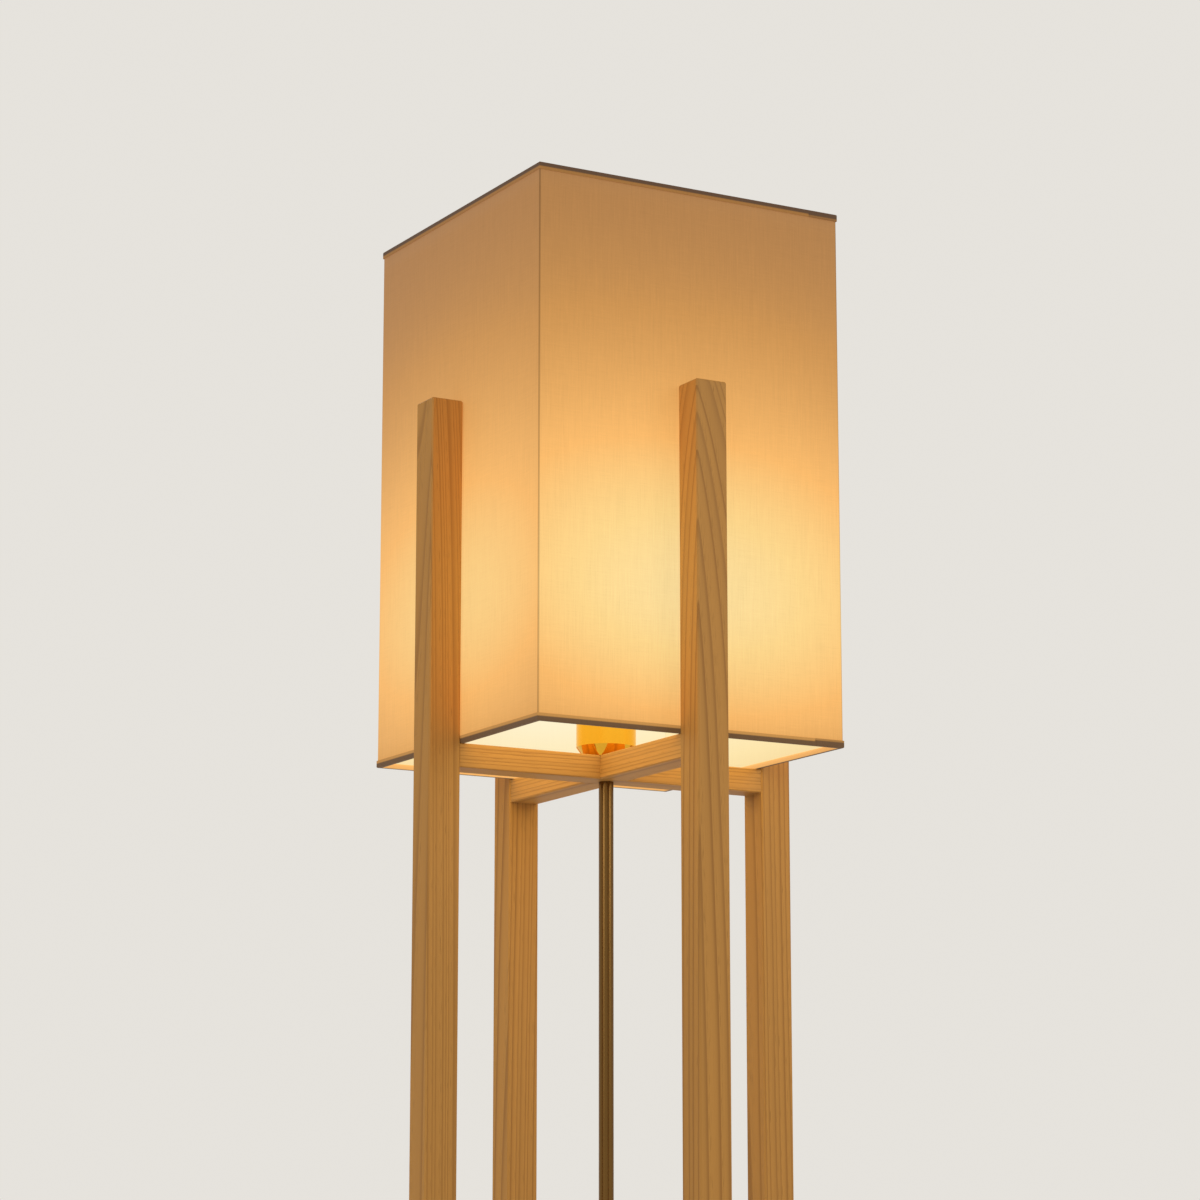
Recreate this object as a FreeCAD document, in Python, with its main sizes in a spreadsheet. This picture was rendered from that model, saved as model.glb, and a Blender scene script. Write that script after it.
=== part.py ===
import FreeCAD, Part
import os
import re
import Sketcher

# Andon floor lamp: four square wooden posts stand outside a tall square fabric shade.
# Two cross-lapped rails tie the posts at the shade's lower edge, and two more near the floor.
# A brass tube joins the two crossings and carries the cord up to the lampholder inside the shade.
# The origin is on the floor at the lamp's axis. X runs left to right, Y front to back, Z up.

V = FreeCAD.Vector

SIZES = [
    # frame
    ("seat_height", 1020, "top of the upper rails, where the shade rests"),
    ("lower_rail_rise", 120, "floor to the underside of the lower rails"),
    ("post_side", 30, "square section of a post"),
    ("post_rise", 301, "post top above the upper rails"),
    ("post_edge_bevel", 1.2, "bevel of a post's edges and top"),
    ("rail_width", 28, "width of a rail"),
    ("rail_height", 21, "height of a rail"),
    ("rail_edge_bevel", 0.8, "bevel of a rail's long edges"),
    ("lap_gap", 0.1, "clearance at each wall of the cross lap"),
    ("tenon_thick", 10, "thickness of a tenon"),
    ("tenon_length", 18, "length of a tenon past its shoulder"),
    ("tenon_shoulder", 3, "shoulder above and below a tenon"),
    ("glue_gap", 0.15, "clearance round a tenon"),
    ("mortise_relief", 1, "extra depth of a mortise past the tenon's end"),
    # floor glides and their nails
    ("glide_radius", 11, "outer radius of a floor glide"),
    ("glide_height", 5, "height of a floor glide"),
    ("glide_bevel", 1.5, "bevel at the glide's foot"),
    ("head_recess_depth", 2.2, "depth of the recess for the nail's head"),
    ("nail_head_radius", 3, "radius of a nail's head"),
    ("nail_head_thick", 1, "thickness of a nail's head"),
    ("nail_radius", 0.9, "radius of a nail's shank"),
    ("nail_length", 16, "length of a nail's shank"),
    ("nail_gap", 0.1, "clearance round a nail"),
    ("head_gap", 0.5, "clearance round a nail's head"),
    # stem
    ("tube_radius", 6.5, "outer radius of the brass stem tube"),
    ("nipple_radius", 5, "outer radius of the threaded nipples"),
    ("nipple_bore", 3.5, "radius of the nipples' bore, where the cord passes"),
    ("nipple_engagement", 15, "length of a nipple inside the stem tube"),
    ("thread_gap", 0.1, "clearance round a nipple"),
    ("bore_gap", 0.3, "clearance round a nipple where it passes wood"),
    ("nut_flats", 14, "width across a lock nut's flats"),
    ("nut_height", 3.5, "height of a lock nut"),
    ("washer_radius", 10, "outer radius of the washer under the lower crossing"),
    ("washer_thick", 1.5, "thickness of that washer"),
    ("cord_bush_radius", 8.5, "outer radius of the cord bush's rim"),
    ("cord_bush_neck", 7.2, "outer radius of the cord bush above its rim"),
    ("cord_bush_height", 10, "height of the cord bush"),
    ("cord_bush_floor", 4, "thickness of the rim that the nipple stands on"),
    ("cord_mouth_bevel", 1, "bevel where the cord enters the bush"),
    # lampholder
    ("cup_radius", 26.3, "outer radius of the brass cup"),
    ("cup_height", 48, "height of the brass cup"),
    ("cup_seat_radius", 19.8, "radius of the cup's foot on the rails"),
    ("cup_cone_height", 9.3, "height of the tapered underside of the cup"),
    ("cup_wall", 1, "wall of the cup"),
    ("cup_floor", 1.2, "floor of the cup"),
    ("bracket_radius", 15, "radius of the holder's steel plate"),
    ("bracket_thick", 1.5, "thickness of the holder's steel plate"),
    ("collar_radius", 7, "radius of the plate's threaded collar"),
    ("collar_height", 9, "height of the plate and its collar"),
    ("bracket_screw_offset", 11, "distance of the plate's screws from the axis"),
    ("bracket_screw_radius", 1.5, "radius of the plate's screws"),
    ("bracket_screw_length", 8, "length of the plate's screws under the head"),
    ("bracket_head_radius", 2.5, "radius of their heads"),
    ("bracket_head_height", 1.8, "height of their heads"),
    ("screw_gap", 0.1, "clearance round a screw"),
    ("holder_radius", 21.5, "radius of the porcelain base and sleeve"),
    ("holder_height", 40, "height of the base and the sleeve together"),
    ("holder_bevel", 1.5, "bevel at the foot of the base and the rim of the sleeve"),
    ("holder_gap", 0.3, "clearance round what the base and the sleeve take in"),
    ("socket_depth", 24, "depth of the bulb's socket"),
    ("spigot_radius", 18, "radius of the base's spigot, which centres the sleeve"),
    ("spigot_height", 2, "height of that spigot"),
    ("spigot_gap", 0.1, "clearance round and above the spigot"),
    ("wire_way_radius", 2.8, "radius of the way for the wires"),
    ("shell_radius", 14.3, "outer radius of the screw shell"),
    ("shell_height", 21, "height of the screw shell"),
    ("shell_floor_radius", 8.5, "inner radius of the screw shell's floor"),
    ("leaf_thick", 0.5, "sheet of the screw shell and the centre contact"),
    ("leaf_width", 5, "width of the centre contact"),
    ("leaf_foot_outer", 7.8, "outer end of the contact's foot"),
    ("leaf_foot_inner", 3.4, "inner end of the contact's foot"),
    ("leaf_knee", 1, "knee of the contact before the axis"),
    ("leaf_tip", 2.5, "free end of the contact past the axis"),
    ("leaf_rise", 3.1, "top of the contact above the socket's floor"),
    ("contact_screw_radius", 1, "radius of the contacts' screws"),
    ("contact_screw_length", 6, "length of the contacts' screws under the head"),
    ("contact_head_radius", 1.8, "radius of their heads"),
    ("contact_head_height", 1.2, "height of their heads"),
    ("shell_screw_offset", 11.2, "distance of the shell's screw from the axis"),
    ("foot_screw_offset", 5.6, "distance of the contact's screw from the axis"),
    # bulb, drawn from its contact upwards
    ("button_radius", 4.8, "radius of the bulb's contact"),
    ("button_height", 1.6, "height of the bulb's contact"),
    ("button_bevel", 0.8, "bevel of the bulb's contact"),
    ("insulator_foot", 5.5, "lower radius of the insulator"),
    ("cap_rise", 5.2, "lower rim of the screw cap above the contact's tip"),
    ("insulator_hold", 2.4, "height of the insulator inside the cap"),
    ("cap_radius", 13.1, "outer radius of the screw cap"),
    ("cap_wall", 0.5, "wall of the screw cap"),
    ("cap_length", 17.8, "length of the screw cap"),
    ("cap_gap", 0.1, "clearance of what the cap holds"),
    ("neck_hold", 11, "length of the housing's neck inside the cap"),
    ("collar_step", 0.7, "step of the housing over the cap's rim"),
    ("housing_straight", 5, "straight stretch above the cap"),
    ("housing_lip", 3, "straight lip of the housing under the globe"),
    ("globe_radius", 30, "radius of the globe"),
    ("globe_wall", 1.2, "wall of the globe"),
    ("globe_depth", 46, "height of the globe above its joint with the housing"),
    ("bulb_length", 108, "overall length of the bulb"),
    # shade
    ("shade_side", 300, "outer side of the fabric"),
    ("shade_height", 480, "height of the shade over its bindings"),
    ("shade_gap", 1.5, "clearance between the fabric and a post"),
    ("fold_radius", 1.4, "outer radius of the fold at a corner"),
    ("fabric_thick", 0.4, "thickness of the fabric"),
    ("backing_thick", 0.5, "thickness of the stiff backing sheet"),
    ("glue_line", 0.05, "clearance between layers of the shade"),
    ("ring_gap", 0.2, "clearance between a ring or an inner flap and the backing"),
    ("ring_wire", 1.75, "radius of the wire rings"),
    ("tape_thick", 0.5, "thickness of the binding"),
    ("binding_height", 7.5, "height of the binding's outer flap"),
    ("roll_round", 0.9, "rounding of the rolled binding"),
    # drawing
    ("cut_overrun", 1, "how far a cut runs past the solid it opens"),
]

# The housing's flare: how far up it and how far out of it its middle lies.
FLARE_SHARES = (0.5, 0.32)
# Straight steps that turn the globe's outside and its hollow, few enough to keep the mesh light.
GLOBE_STEPS = 7
HOLLOW_STEPS = 3

doc = FreeCAD.newDocument("andon_floor_lamp")
sheet = doc.addObject("Spreadsheet::Sheet", "dims")
for row, (alias, number, meaning) in enumerate(SIZES, start=1):
    sheet.set(f"A{row}", meaning)
    sheet.set(f"B{row}", str(number))
    sheet.setAlias(f"B{row}", alias)
doc.recompute()

ALIASES = {alias for alias, _, _ in SIZES}


def bound(text):
    """A formula of size names, written the way an expression refers to the sheet."""
    return re.sub(r"[a-z_]+", lambda m: f"dims.{m[0]}" if m[0] in ALIASES else m[0], str(text))


def size(text):
    """The present value of a formula of size names."""
    return float(sheet.evalExpression(bound(text)))


# Heights and places that several pieces share.
POST_OFFSET = "(shade_side / 2 + shade_gap + post_side / 2)"
RAIL_HALF = "(shade_side / 2 + shade_gap)"
UPPER_UNDERSIDE = "(seat_height - rail_height)"
LOWER_TOP = "(lower_rail_rise + rail_height)"
THREAD_HOLE = "(nipple_radius + thread_gap)"
BRACKET_FOOT = "(seat_height + cup_floor + nut_height)"
HOLDER_FOOT = f"({BRACKET_FOOT} + bracket_thick)"
SOCKET_FLOOR = f"({HOLDER_FOOT} + holder_height - socket_depth)"
CONTACT_SCREW_HOLE = "contact_screw_radius + screw_gap"
BULB_FOOT = f"({SOCKET_FLOOR} + leaf_rise)"
BUSH_TOP = "(lower_rail_rise - washer_thick - nut_height)"


def new_body(label):
    body = doc.addObject("PartDesign::Body", label)
    body.Label = label
    return body


def new_sketch(body, name, role="XY_Plane", lift=0):
    """A sketch on one of the body's own origin planes, moved along that plane's normal."""
    sketch = body.newObject("Sketcher::SketchObject", name)
    flat = next(f for f in body.Origin.OriginFeatures if f.Role == role)
    sketch.AttachmentSupport = [(flat, "")]
    sketch.MapMode = "FlatFace"
    if lift:
        sketch.setExpression("AttachmentOffset.Base.z", bound(lift))
    return sketch


def pin_point(sketch, edge, end, across, along):
    """Hold one end of an edge at a place given by two formulas; a zero lies on the axis."""
    for kind, axis, text in (("DistanceX", -2, across), ("DistanceY", -1, along)):
        if text == 0:
            sketch.addConstraint(Sketcher.Constraint("PointOnObject", edge, end, axis))
            continue
        index = sketch.addConstraint(Sketcher.Constraint(kind, -1, 1, edge, end, size(text)))
        sketch.setExpression(f"Constraints[{index}]", bound(text))


def bent_edge(start, end, radius, side):
    """An arc between two points that bulges to the right of the way there (1) or to its left (-1)."""
    chord = end - start
    half = chord.Length / 2
    right = V(chord.y, -chord.x, 0).normalize()
    sagitta = radius - (radius**2 - half**2) ** 0.5
    crown = start + chord / 2 + right * sagitta * side
    return Part.Arc(start, crown, end) if side > 0 else Part.Arc(end, crown, start)


def outline(sketch, corners, arcs=None, closed=True):
    """Straight and bent edges through the corners; arcs gives {first corner: (radius, side)}."""
    arcs = arcs or {}
    points = [V(size(across), size(along), 0) for across, along in corners]
    count = len(points)
    first = sketch.GeometryCount
    ends = []
    for i in range(count if closed else count - 1):
        start, end = points[i], points[(i + 1) % count]
        if i not in arcs:
            sketch.addGeometry(Part.LineSegment(start, end), False)
            ends.append((1, 2))
            continue
        radius, side = arcs[i]
        sketch.addGeometry(bent_edge(start, end, size(radius), side), False)
        ends.append((1, 2) if side > 0 else (2, 1))
    edges = len(ends)
    for i in range(edges if closed else edges - 1):
        j = (i + 1) % edges
        sketch.addConstraint(
            Sketcher.Constraint("Coincident", first + i, ends[i][1], first + j, ends[j][0]))
    for i in range(edges):
        pin_point(sketch, first + i, ends[i][0], *corners[i])
    if not closed:
        pin_point(sketch, first + edges - 1, ends[-1][1], *corners[-1])
    for i, (radius, _) in arcs.items():
        index = sketch.addConstraint(Sketcher.Constraint("Radius", first + i, size(radius)))
        sketch.setExpression(f"Constraints[{index}]", bound(radius))


def rectangle(sketch, left, low, right, high):
    outline(sketch, [(left, low), (right, low), (right, high), (left, high)])


def circle(sketch, radius, across=0, along=0):
    centre = V(size(across), size(along), 0)
    index = sketch.addGeometry(Part.Circle(centre, V(0, 0, 1), size(radius)), False)
    rule = sketch.addConstraint(Sketcher.Constraint("Radius", index, size(radius)))
    sketch.setExpression(f"Constraints[{rule}]", bound(radius))
    pin_point(sketch, index, 3, across, along)


def pad(body, sketch, length, name):
    feature = body.newObject("PartDesign::Pad", name)
    feature.Profile = sketch
    feature.setExpression("Length", bound(length))
    doc.recompute()
    return feature


def pocket(body, sketch, depth, name, upwards=False):
    """A cut along the sketch's normal or against it, which must take material away."""
    before = body.Tip.Shape.Volume
    feature = body.newObject("PartDesign::Pocket", name)
    feature.Profile = sketch
    feature.Reversed = upwards
    feature.setExpression("Length", bound(depth))
    doc.recompute()
    if not feature.Shape.Volume < before:
        raise ValueError(f"{body.Label}: {name} cuts nothing")
    return feature


def turned(label, corners, lift=0):
    """A piece turned about the vertical axis from half its section."""
    body = new_body(label)
    section = new_sketch(body, f"{label}_section", "XZ_Plane")
    outline(section, corners)
    feature = body.newObject("PartDesign::Revolution", f"{label}_turning")
    feature.Profile = section
    feature.ReferenceAxis = (section, ["V_Axis"])
    doc.recompute()
    place(body, lift=lift)
    return body


def softened(body, name, amount, wanted, bevel=False):
    """A fillet, or a bevel, on the edges of the body's last shape that pass the test."""
    tip = body.Tip
    picked = [f"Edge{i}" for i, edge in enumerate(tip.Shape.Edges, start=1) if wanted(edge)]
    feature = body.newObject("PartDesign::Chamfer" if bevel else "PartDesign::Fillet", name)
    feature.Base = (tip, picked)
    feature.setExpression("Size" if bevel else "Radius", bound(amount))
    doc.recompute()
    return feature


def runs_along(edge, axis):
    """Whether a straight edge is parallel to an axis, given as a vector."""
    ends = [v.Point for v in edge.Vertexes]
    return len(ends) == 2 and abs((ends[1] - ends[0]).normalize().dot(axis)) > 0.999


def place(body, across=0, along=0, lift=0, turn=0, flip=0):
    """Set a piece at its place: turned about Z, or flipped over about X, then moved."""
    body.Placement = FreeCAD.Placement(V(), FreeCAD.Rotation(turn, 0, flip))
    for axis, text in (("x", across), ("y", along), ("z", lift)):
        if text != 0:
            body.setExpression(f"Placement.Base.{axis}", bound(text))


def group(label, pieces):
    """Identical fasteners kept together as one sub-part of separate solids."""
    joined = doc.addObject("Part::Compound", label)
    joined.Label = label
    joined.Links = pieces
    return joined


# The four posts, with their turn about the axis and the direction of their offset.
SIDES = {"left": (0, -1, 0), "front": (90, 0, -1), "right": (180, 1, 0), "back": (270, 0, 1)}


def make_post(side):
    """A square post with softened edges, two blind mortises and a pilot hole for its glide."""
    body = new_body(f"{side}_post")
    half = "post_side / 2"
    section = new_sketch(body, f"{side}_post_section", lift="glide_height")
    rectangle(section, f"-{half}", f"-{half}", half, half)
    pad(body, section, "seat_height + post_rise - glide_height", f"{side}_post_length")
    near_top = size("seat_height + post_rise - post_edge_bevel")
    softened(body, f"{side}_post_edges", "post_edge_bevel",
             lambda edge: runs_along(edge, V(0, 0, 1)) or edge.CenterOfMass.z > near_top, bevel=True)
    for level, foot in (("lower", "lower_rail_rise"), ("upper", UPPER_UNDERSIDE)):
        mouth = new_sketch(body, f"{side}_{level}_mortise_mouth", "YZ_Plane", lift=half)
        rectangle(mouth, "-tenon_thick / 2 - glue_gap", f"{foot} + tenon_shoulder - glue_gap",
                  "tenon_thick / 2 + glue_gap", f"{foot} + rail_height - tenon_shoulder + glue_gap")
        pocket(body, mouth, "tenon_length + mortise_relief", f"{side}_{level}_mortise")
    pilot = new_sketch(body, f"{side}_pilot_mouth", lift="glide_height")
    circle(pilot, "nail_radius + nail_gap")
    pocket(body, pilot, "head_recess_depth + nail_length - glide_height + nail_gap",
           f"{side}_pilot_hole", upwards=True)
    return body


def make_rail(label, notch_on_top):
    """A rail with a tenon at each end, half cut away where it crosses its partner."""
    body = new_body(label)
    section = new_sketch(body, f"{label}_plan")
    rectangle(section, f"-{RAIL_HALF}", "-rail_width / 2", RAIL_HALF, "rail_width / 2")
    pad(body, section, "rail_height", f"{label}_bar")
    softened(body, f"{label}_edges", "rail_edge_bevel",
             lambda edge: runs_along(edge, V(1, 0, 0)), bevel=True)
    reach = f"({RAIL_HALF} + tenon_length)"
    tenons = new_sketch(body, f"{label}_tenon_plan", lift="tenon_shoulder")
    rectangle(tenons, f"-{reach}", "-tenon_thick / 2", reach, "tenon_thick / 2")
    pad(body, tenons, "rail_height - 2 * tenon_shoulder", f"{label}_tenons")
    lap = new_sketch(body, f"{label}_lap_plan", lift="rail_height / 2")
    wide = "(rail_width / 2 + lap_gap)"
    deep = "(rail_width / 2 + cut_overrun)"
    rectangle(lap, f"-{wide}", f"-{deep}", wide, deep)
    pocket(body, lap, "rail_height / 2 + cut_overrun", f"{label}_lap", upwards=notch_on_top)
    hole = new_sketch(body, f"{label}_bore_plan")
    circle(hole, "nipple_radius + bore_gap")
    pocket(body, hole, "rail_height", f"{label}_bore", upwards=True)
    return body


def make_glide(side):
    """A round plastic glide with a recess for the head of the nail that holds it."""
    hole = "nail_radius + nail_gap"
    head = "nail_head_radius + head_gap"
    return turned(f"{side}_glide", [
        (hole, "head_recess_depth"), (head, "head_recess_depth"), (head, 0),
        ("glide_radius - glide_bevel", 0), ("glide_radius", "glide_bevel"),
        ("glide_radius", "glide_height"), (hole, "glide_height")])


def make_nail(side):
    head_foot = "head_recess_depth - nail_head_thick"
    tip = "head_recess_depth + nail_length"
    return turned(f"{side}_nail", [
        (0, head_foot), ("nail_head_radius", head_foot), ("nail_head_radius", "head_recess_depth"),
        ("nail_radius", "head_recess_depth"), ("nail_radius", tip), (0, tip)])


def make_pipe(label, outer, inner, foot, top):
    """A straight pipe or ring that stands on the vertical axis."""
    body = new_body(label)
    section = new_sketch(body, f"{label}_section")
    circle(section, outer)
    circle(section, inner)
    pad(body, section, f"{top} - {foot}", f"{label}_length")
    place(body, lift=foot)
    return body


def make_nut(label, foot):
    """A thin hexagonal lock nut."""
    body = new_body(label)
    section = new_sketch(body, f"{label}_section")
    corner = "nut_flats / sqrt(3)"
    flat = "nut_flats / 2"
    outline(section, [(corner, 0), (f"{corner} / 2", flat), (f"-{corner} / 2", flat),
                      (f"-{corner}", 0), (f"-{corner} / 2", f"-{flat}"), (f"{corner} / 2", f"-{flat}")])
    circle(section, THREAD_HOLE)
    pad(body, section, "nut_height", f"{label}_thickness")
    place(body, lift=foot)
    return body


def make_screw(label, head_radius, head_height, radius, length, upwards):
    """A pan-headed screw whose head seats at the piece's own zero."""
    sign = "" if upwards else "-"
    other = "-" if upwards else ""
    corners = [(0, f"{other}{head_height}"), (head_radius, f"{other}{head_height}"), (head_radius, 0),
               (radius, 0), (radius, f"{sign}{length}"), (0, f"{sign}{length}")]
    return turned(label, corners)


def pierced(body, name, places, radius, depth, lift=0, upwards=True):
    """Round holes at places along X."""
    mouths = new_sketch(body, f"{name}_plan", lift=lift)
    for across in places:
        circle(mouths, radius, across, 0)
    pocket(body, mouths, depth, name, upwards=upwards)


def make_cup():
    """The brass cup that hides the lampholder, with a polished tapered underside."""
    return turned("lampholder_cup", [
        (THREAD_HOLE, 0), ("cup_seat_radius", 0), ("cup_radius", "cup_cone_height"),
        ("cup_radius", "cup_height"), ("cup_radius - cup_wall", "cup_height"),
        ("cup_radius - cup_wall", "cup_cone_height"), ("cup_seat_radius - cup_wall", "cup_floor"),
        (THREAD_HOLE, "cup_floor")], lift="seat_height")


def make_bracket():
    """The steel plate with a threaded collar that screws onto the upper nipple."""
    body = turned("holder_bracket", [
        (THREAD_HOLE, 0), ("bracket_radius", 0), ("bracket_radius", "bracket_thick"),
        ("collar_radius", "bracket_thick"), ("collar_radius", "collar_height"),
        (THREAD_HOLE, "collar_height")], lift=BRACKET_FOOT)
    pierced(body, "bracket_screw_holes", ["-bracket_screw_offset", "bracket_screw_offset"],
            "bracket_screw_radius + screw_gap", "bracket_thick")
    return body


def make_holder_base():
    """The porcelain base: room for the collar below, a spigot above, holes for the screws."""
    recess = "collar_radius + holder_gap"
    recess_depth = "collar_height - bracket_thick + holder_gap"
    floor = "holder_height - socket_depth"
    step = f"{floor} - spigot_height"
    body = turned("holder_base", [
        (recess, 0), ("holder_radius - holder_bevel", 0), ("holder_radius", "holder_bevel"),
        ("holder_radius", step), ("spigot_radius", step), ("spigot_radius", floor),
        ("wire_way_radius", floor), ("wire_way_radius", recess_depth), (recess, recess_depth)],
        lift=HOLDER_FOOT)
    pierced(body, "plate_screw_holes", ["-bracket_screw_offset", "bracket_screw_offset"],
            "bracket_screw_radius + screw_gap", "bracket_screw_length - bracket_thick + screw_gap")
    pierced(body, "contact_screw_holes", ["-foot_screw_offset", "shell_screw_offset"],
            "contact_screw_radius + screw_gap", "contact_screw_length - leaf_thick + screw_gap",
            lift=floor, upwards=False)
    return body


def make_holder_sleeve():
    """The porcelain sleeve that stands on the base's step and guards the screw shell."""
    socket = "shell_radius + holder_gap"
    guide = "spigot_radius + spigot_gap"
    foot = "holder_height - socket_depth - spigot_height"
    ledge = "holder_height - socket_depth + spigot_gap"
    return turned("holder_sleeve", [
        (guide, foot), ("holder_radius", foot), ("holder_radius", "holder_height - holder_bevel"),
        ("holder_radius - holder_bevel", "holder_height"), (socket, "holder_height"),
        (socket, ledge), (guide, ledge)], lift=HOLDER_FOOT)


def make_shell():
    """The screw shell with its floor, which one screw holds in the socket."""
    inner = "shell_radius - leaf_thick"
    body = turned("screw_shell", [
        ("shell_floor_radius", 0), ("shell_radius", 0), ("shell_radius", "shell_height"),
        (inner, "shell_height"), (inner, "leaf_thick"), ("shell_floor_radius", "leaf_thick")],
        lift=SOCKET_FLOOR)
    pierced(body, "shell_screw_hole", ["shell_screw_offset"], CONTACT_SCREW_HOLE, "leaf_thick")
    return body


def make_centre_contact():
    """The spring leaf under the bulb: a screwed foot, a sloped arm and a flat tip."""
    body = new_body("centre_contact")
    side = new_sketch(body, "centre_contact_side", "XZ_Plane", lift="-leaf_width / 2")
    under = "leaf_rise - leaf_thick"
    outline(side, [("-leaf_foot_outer", 0), ("-leaf_foot_inner", 0), ("-leaf_knee", under),
                   ("leaf_tip", under), ("leaf_tip", "leaf_rise"), ("-leaf_knee", "leaf_rise"),
                   ("-leaf_foot_inner", "leaf_thick"), ("-leaf_foot_outer", "leaf_thick")])
    pad(body, side, "leaf_width", "centre_contact_width")
    pierced(body, "foot_screw_hole", ["-foot_screw_offset"], CONTACT_SCREW_HOLE, "leaf_thick")
    place(body, lift=SOCKET_FLOOR)
    return body


def make_cord_bush():
    """The plastic bush on the lower nipple's end, where the cord enters."""
    step = "cord_bush_floor"
    return turned("cord_bush", [
        ("nipple_bore", "cord_mouth_bevel"), ("nipple_bore + cord_mouth_bevel", 0),
        ("cord_bush_radius", 0), ("cord_bush_radius", step), ("cord_bush_neck", step),
        ("cord_bush_neck", "cord_bush_height"), (THREAD_HOLE, "cord_bush_height"),
        (THREAD_HOLE, step), ("nipple_bore", step)], lift=f"{BUSH_TOP} - cord_bush_height")


def globe_curve(radius, steps):
    """Corners from the globe's joint up to its top, on a circle of the given radius."""
    start = f"asin((globe_radius - globe_depth) / ({radius}))"
    corners = []
    for i in range(steps + 1):
        angle = f"({start} + (90 deg - {start}) * {i} / {steps})"
        corners.append((f"({radius}) * cos({angle})",
                        f"bulb_length - globe_radius + ({radius}) * sin({angle})"))
    corners[-1] = (0, corners[-1][1])
    return corners


def make_bulb():
    """A lamp bulb: contact, insulator, screw cap, housing and opal globe."""
    inside = "cap_radius - cap_wall - cap_gap"
    cap_top = "cap_rise + cap_length"
    outside = globe_curve("globe_radius", GLOBE_STEPS)
    hollow = globe_curve("globe_radius - globe_wall", HOLLOW_STEPS)
    rim, joint = outside[0]
    waist = "cap_radius + collar_step"
    foot = f"({cap_top} + housing_straight)"
    up, out = FLARE_SHARES
    flare = (f"{waist} + ({rim} - {waist}) * {out}",
             f"{foot} + ({joint} - housing_lip - {foot}) * {up}")
    contact = turned("bulb_contact", [
        (0, 0), ("button_radius - button_bevel", 0), ("button_radius", "button_bevel"),
        ("button_radius", "button_height"), (0, "button_height")], lift=BULB_FOOT)
    insulator = turned("bulb_insulator", [
        (0, "button_height"), ("insulator_foot", "button_height"), (inside, "cap_rise"),
        (inside, "cap_rise + insulator_hold"), (0, "cap_rise + insulator_hold")], lift=BULB_FOOT)
    cap = turned("bulb_cap", [
        ("cap_radius - cap_wall", "cap_rise"), ("cap_radius", "cap_rise"), ("cap_radius", cap_top),
        ("cap_radius - cap_wall", cap_top)], lift=BULB_FOOT)
    housing = turned("bulb_housing", [
        (0, f"{cap_top} - neck_hold"), (inside, f"{cap_top} - neck_hold"), (inside, cap_top),
        (waist, cap_top), (waist, foot), flare, (rim, f"{joint} - housing_lip"), (rim, joint),
        (0, joint)], lift=BULB_FOOT)
    globe = turned("bulb_globe", outside + hollow[::-1], lift=BULB_FOOT)
    return [contact, insulator, cap, housing, globe]


def make_sleeve(label, half, radius, thick):
    """A square sleeve of sheet, open above and below, folded at its four corners."""
    edge = "(tape_thick + glue_line)"
    body = new_body(label)
    section = new_sketch(body, f"{label}_section", lift=edge)
    rectangle(section, f"-({half})", f"-({half})", half, half)
    pad(body, section, f"shade_height - 2 * {edge}", f"{label}_height")
    folds = softened(body, f"{label}_folds", radius, lambda edge: runs_along(edge, V(0, 0, 1)))
    ends = [f"Face{i}" for i, face in enumerate(folds.Shape.Faces, start=1)
            if abs(face.normalAt(0, 0).z) > 0.999]
    walls = body.newObject("PartDesign::Thickness", f"{label}_wall")
    walls.Base = (folds, ends)
    walls.Reversed = True
    walls.setExpression("Value", bound(thick))
    doc.recompute()
    place(body, lift="seat_height")
    return body


# Faces of the shade's layers, as distances from the axis.
BACKING_FACE = "(shade_side / 2 - fabric_thick - glue_line)"
BACKING_INNER = f"({BACKING_FACE} - backing_thick)"
WIRE_CENTRE = f"({BACKING_INNER} - ring_gap - ring_wire)"
WIRE_HEIGHT = "(tape_thick + glue_line + ring_wire)"


def swept_square(label, half, draw_section):
    """A section carried round a square with mitred corners."""
    body = new_body(label)
    path = new_sketch(body, f"{label}_path")
    outline(path, [(half, 0), (half, half), (f"-{half}", half), (f"-{half}", f"-{half}"),
                   (half, f"-{half}")])
    section = new_sketch(body, f"{label}_section", "XZ_Plane")
    draw_section(section)
    sweep = body.newObject("PartDesign::AdditivePipe", f"{label}_sweep")
    sweep.Profile = section
    sweep.Spine = (path, [f"Edge{i + 1}" for i in range(path.GeometryCount)])
    sweep.Transition = "Right corner"
    doc.recompute()
    return body


def make_ring(label):
    """A square ring of steel wire, welded at its corners."""
    return swept_square(label, WIRE_CENTRE,
                        lambda section: circle(section, "ring_wire", WIRE_CENTRE, WIRE_HEIGHT))


def make_binding(label):
    """The fabric tape rolled over a wire ring and the shade's edge, with its two flaps."""
    outer = "(shade_side / 2 + glue_line + tape_thick)"
    flap = "(shade_side / 2 + glue_line)"
    hollow = f"({WIRE_CENTRE} - ring_wire - glue_line)"
    inner = f"({hollow} - tape_thick)"
    roof = "(tape_thick + 2 * glue_line + 2 * ring_wire)"
    meet = f"({BACKING_INNER} - ring_gap)"

    def section_lines(section):
        outline(section, [
            (outer, "roll_round"), (outer, "binding_height"), (flap, "binding_height"),
            (flap, "tape_thick"), (hollow, "tape_thick"), (hollow, roof), (meet, roof),
            (meet, f"{roof} + tape_thick"), (inner, f"{roof} + tape_thick"), (inner, "roll_round"),
            (f"{inner} + roll_round", 0), (f"{outer} - roll_round", 0)],
            {9: ("roll_round", 1), 11: ("roll_round", 1)})
    return swept_square(label, "(shade_side / 2)", section_lines)


kept = []

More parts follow.
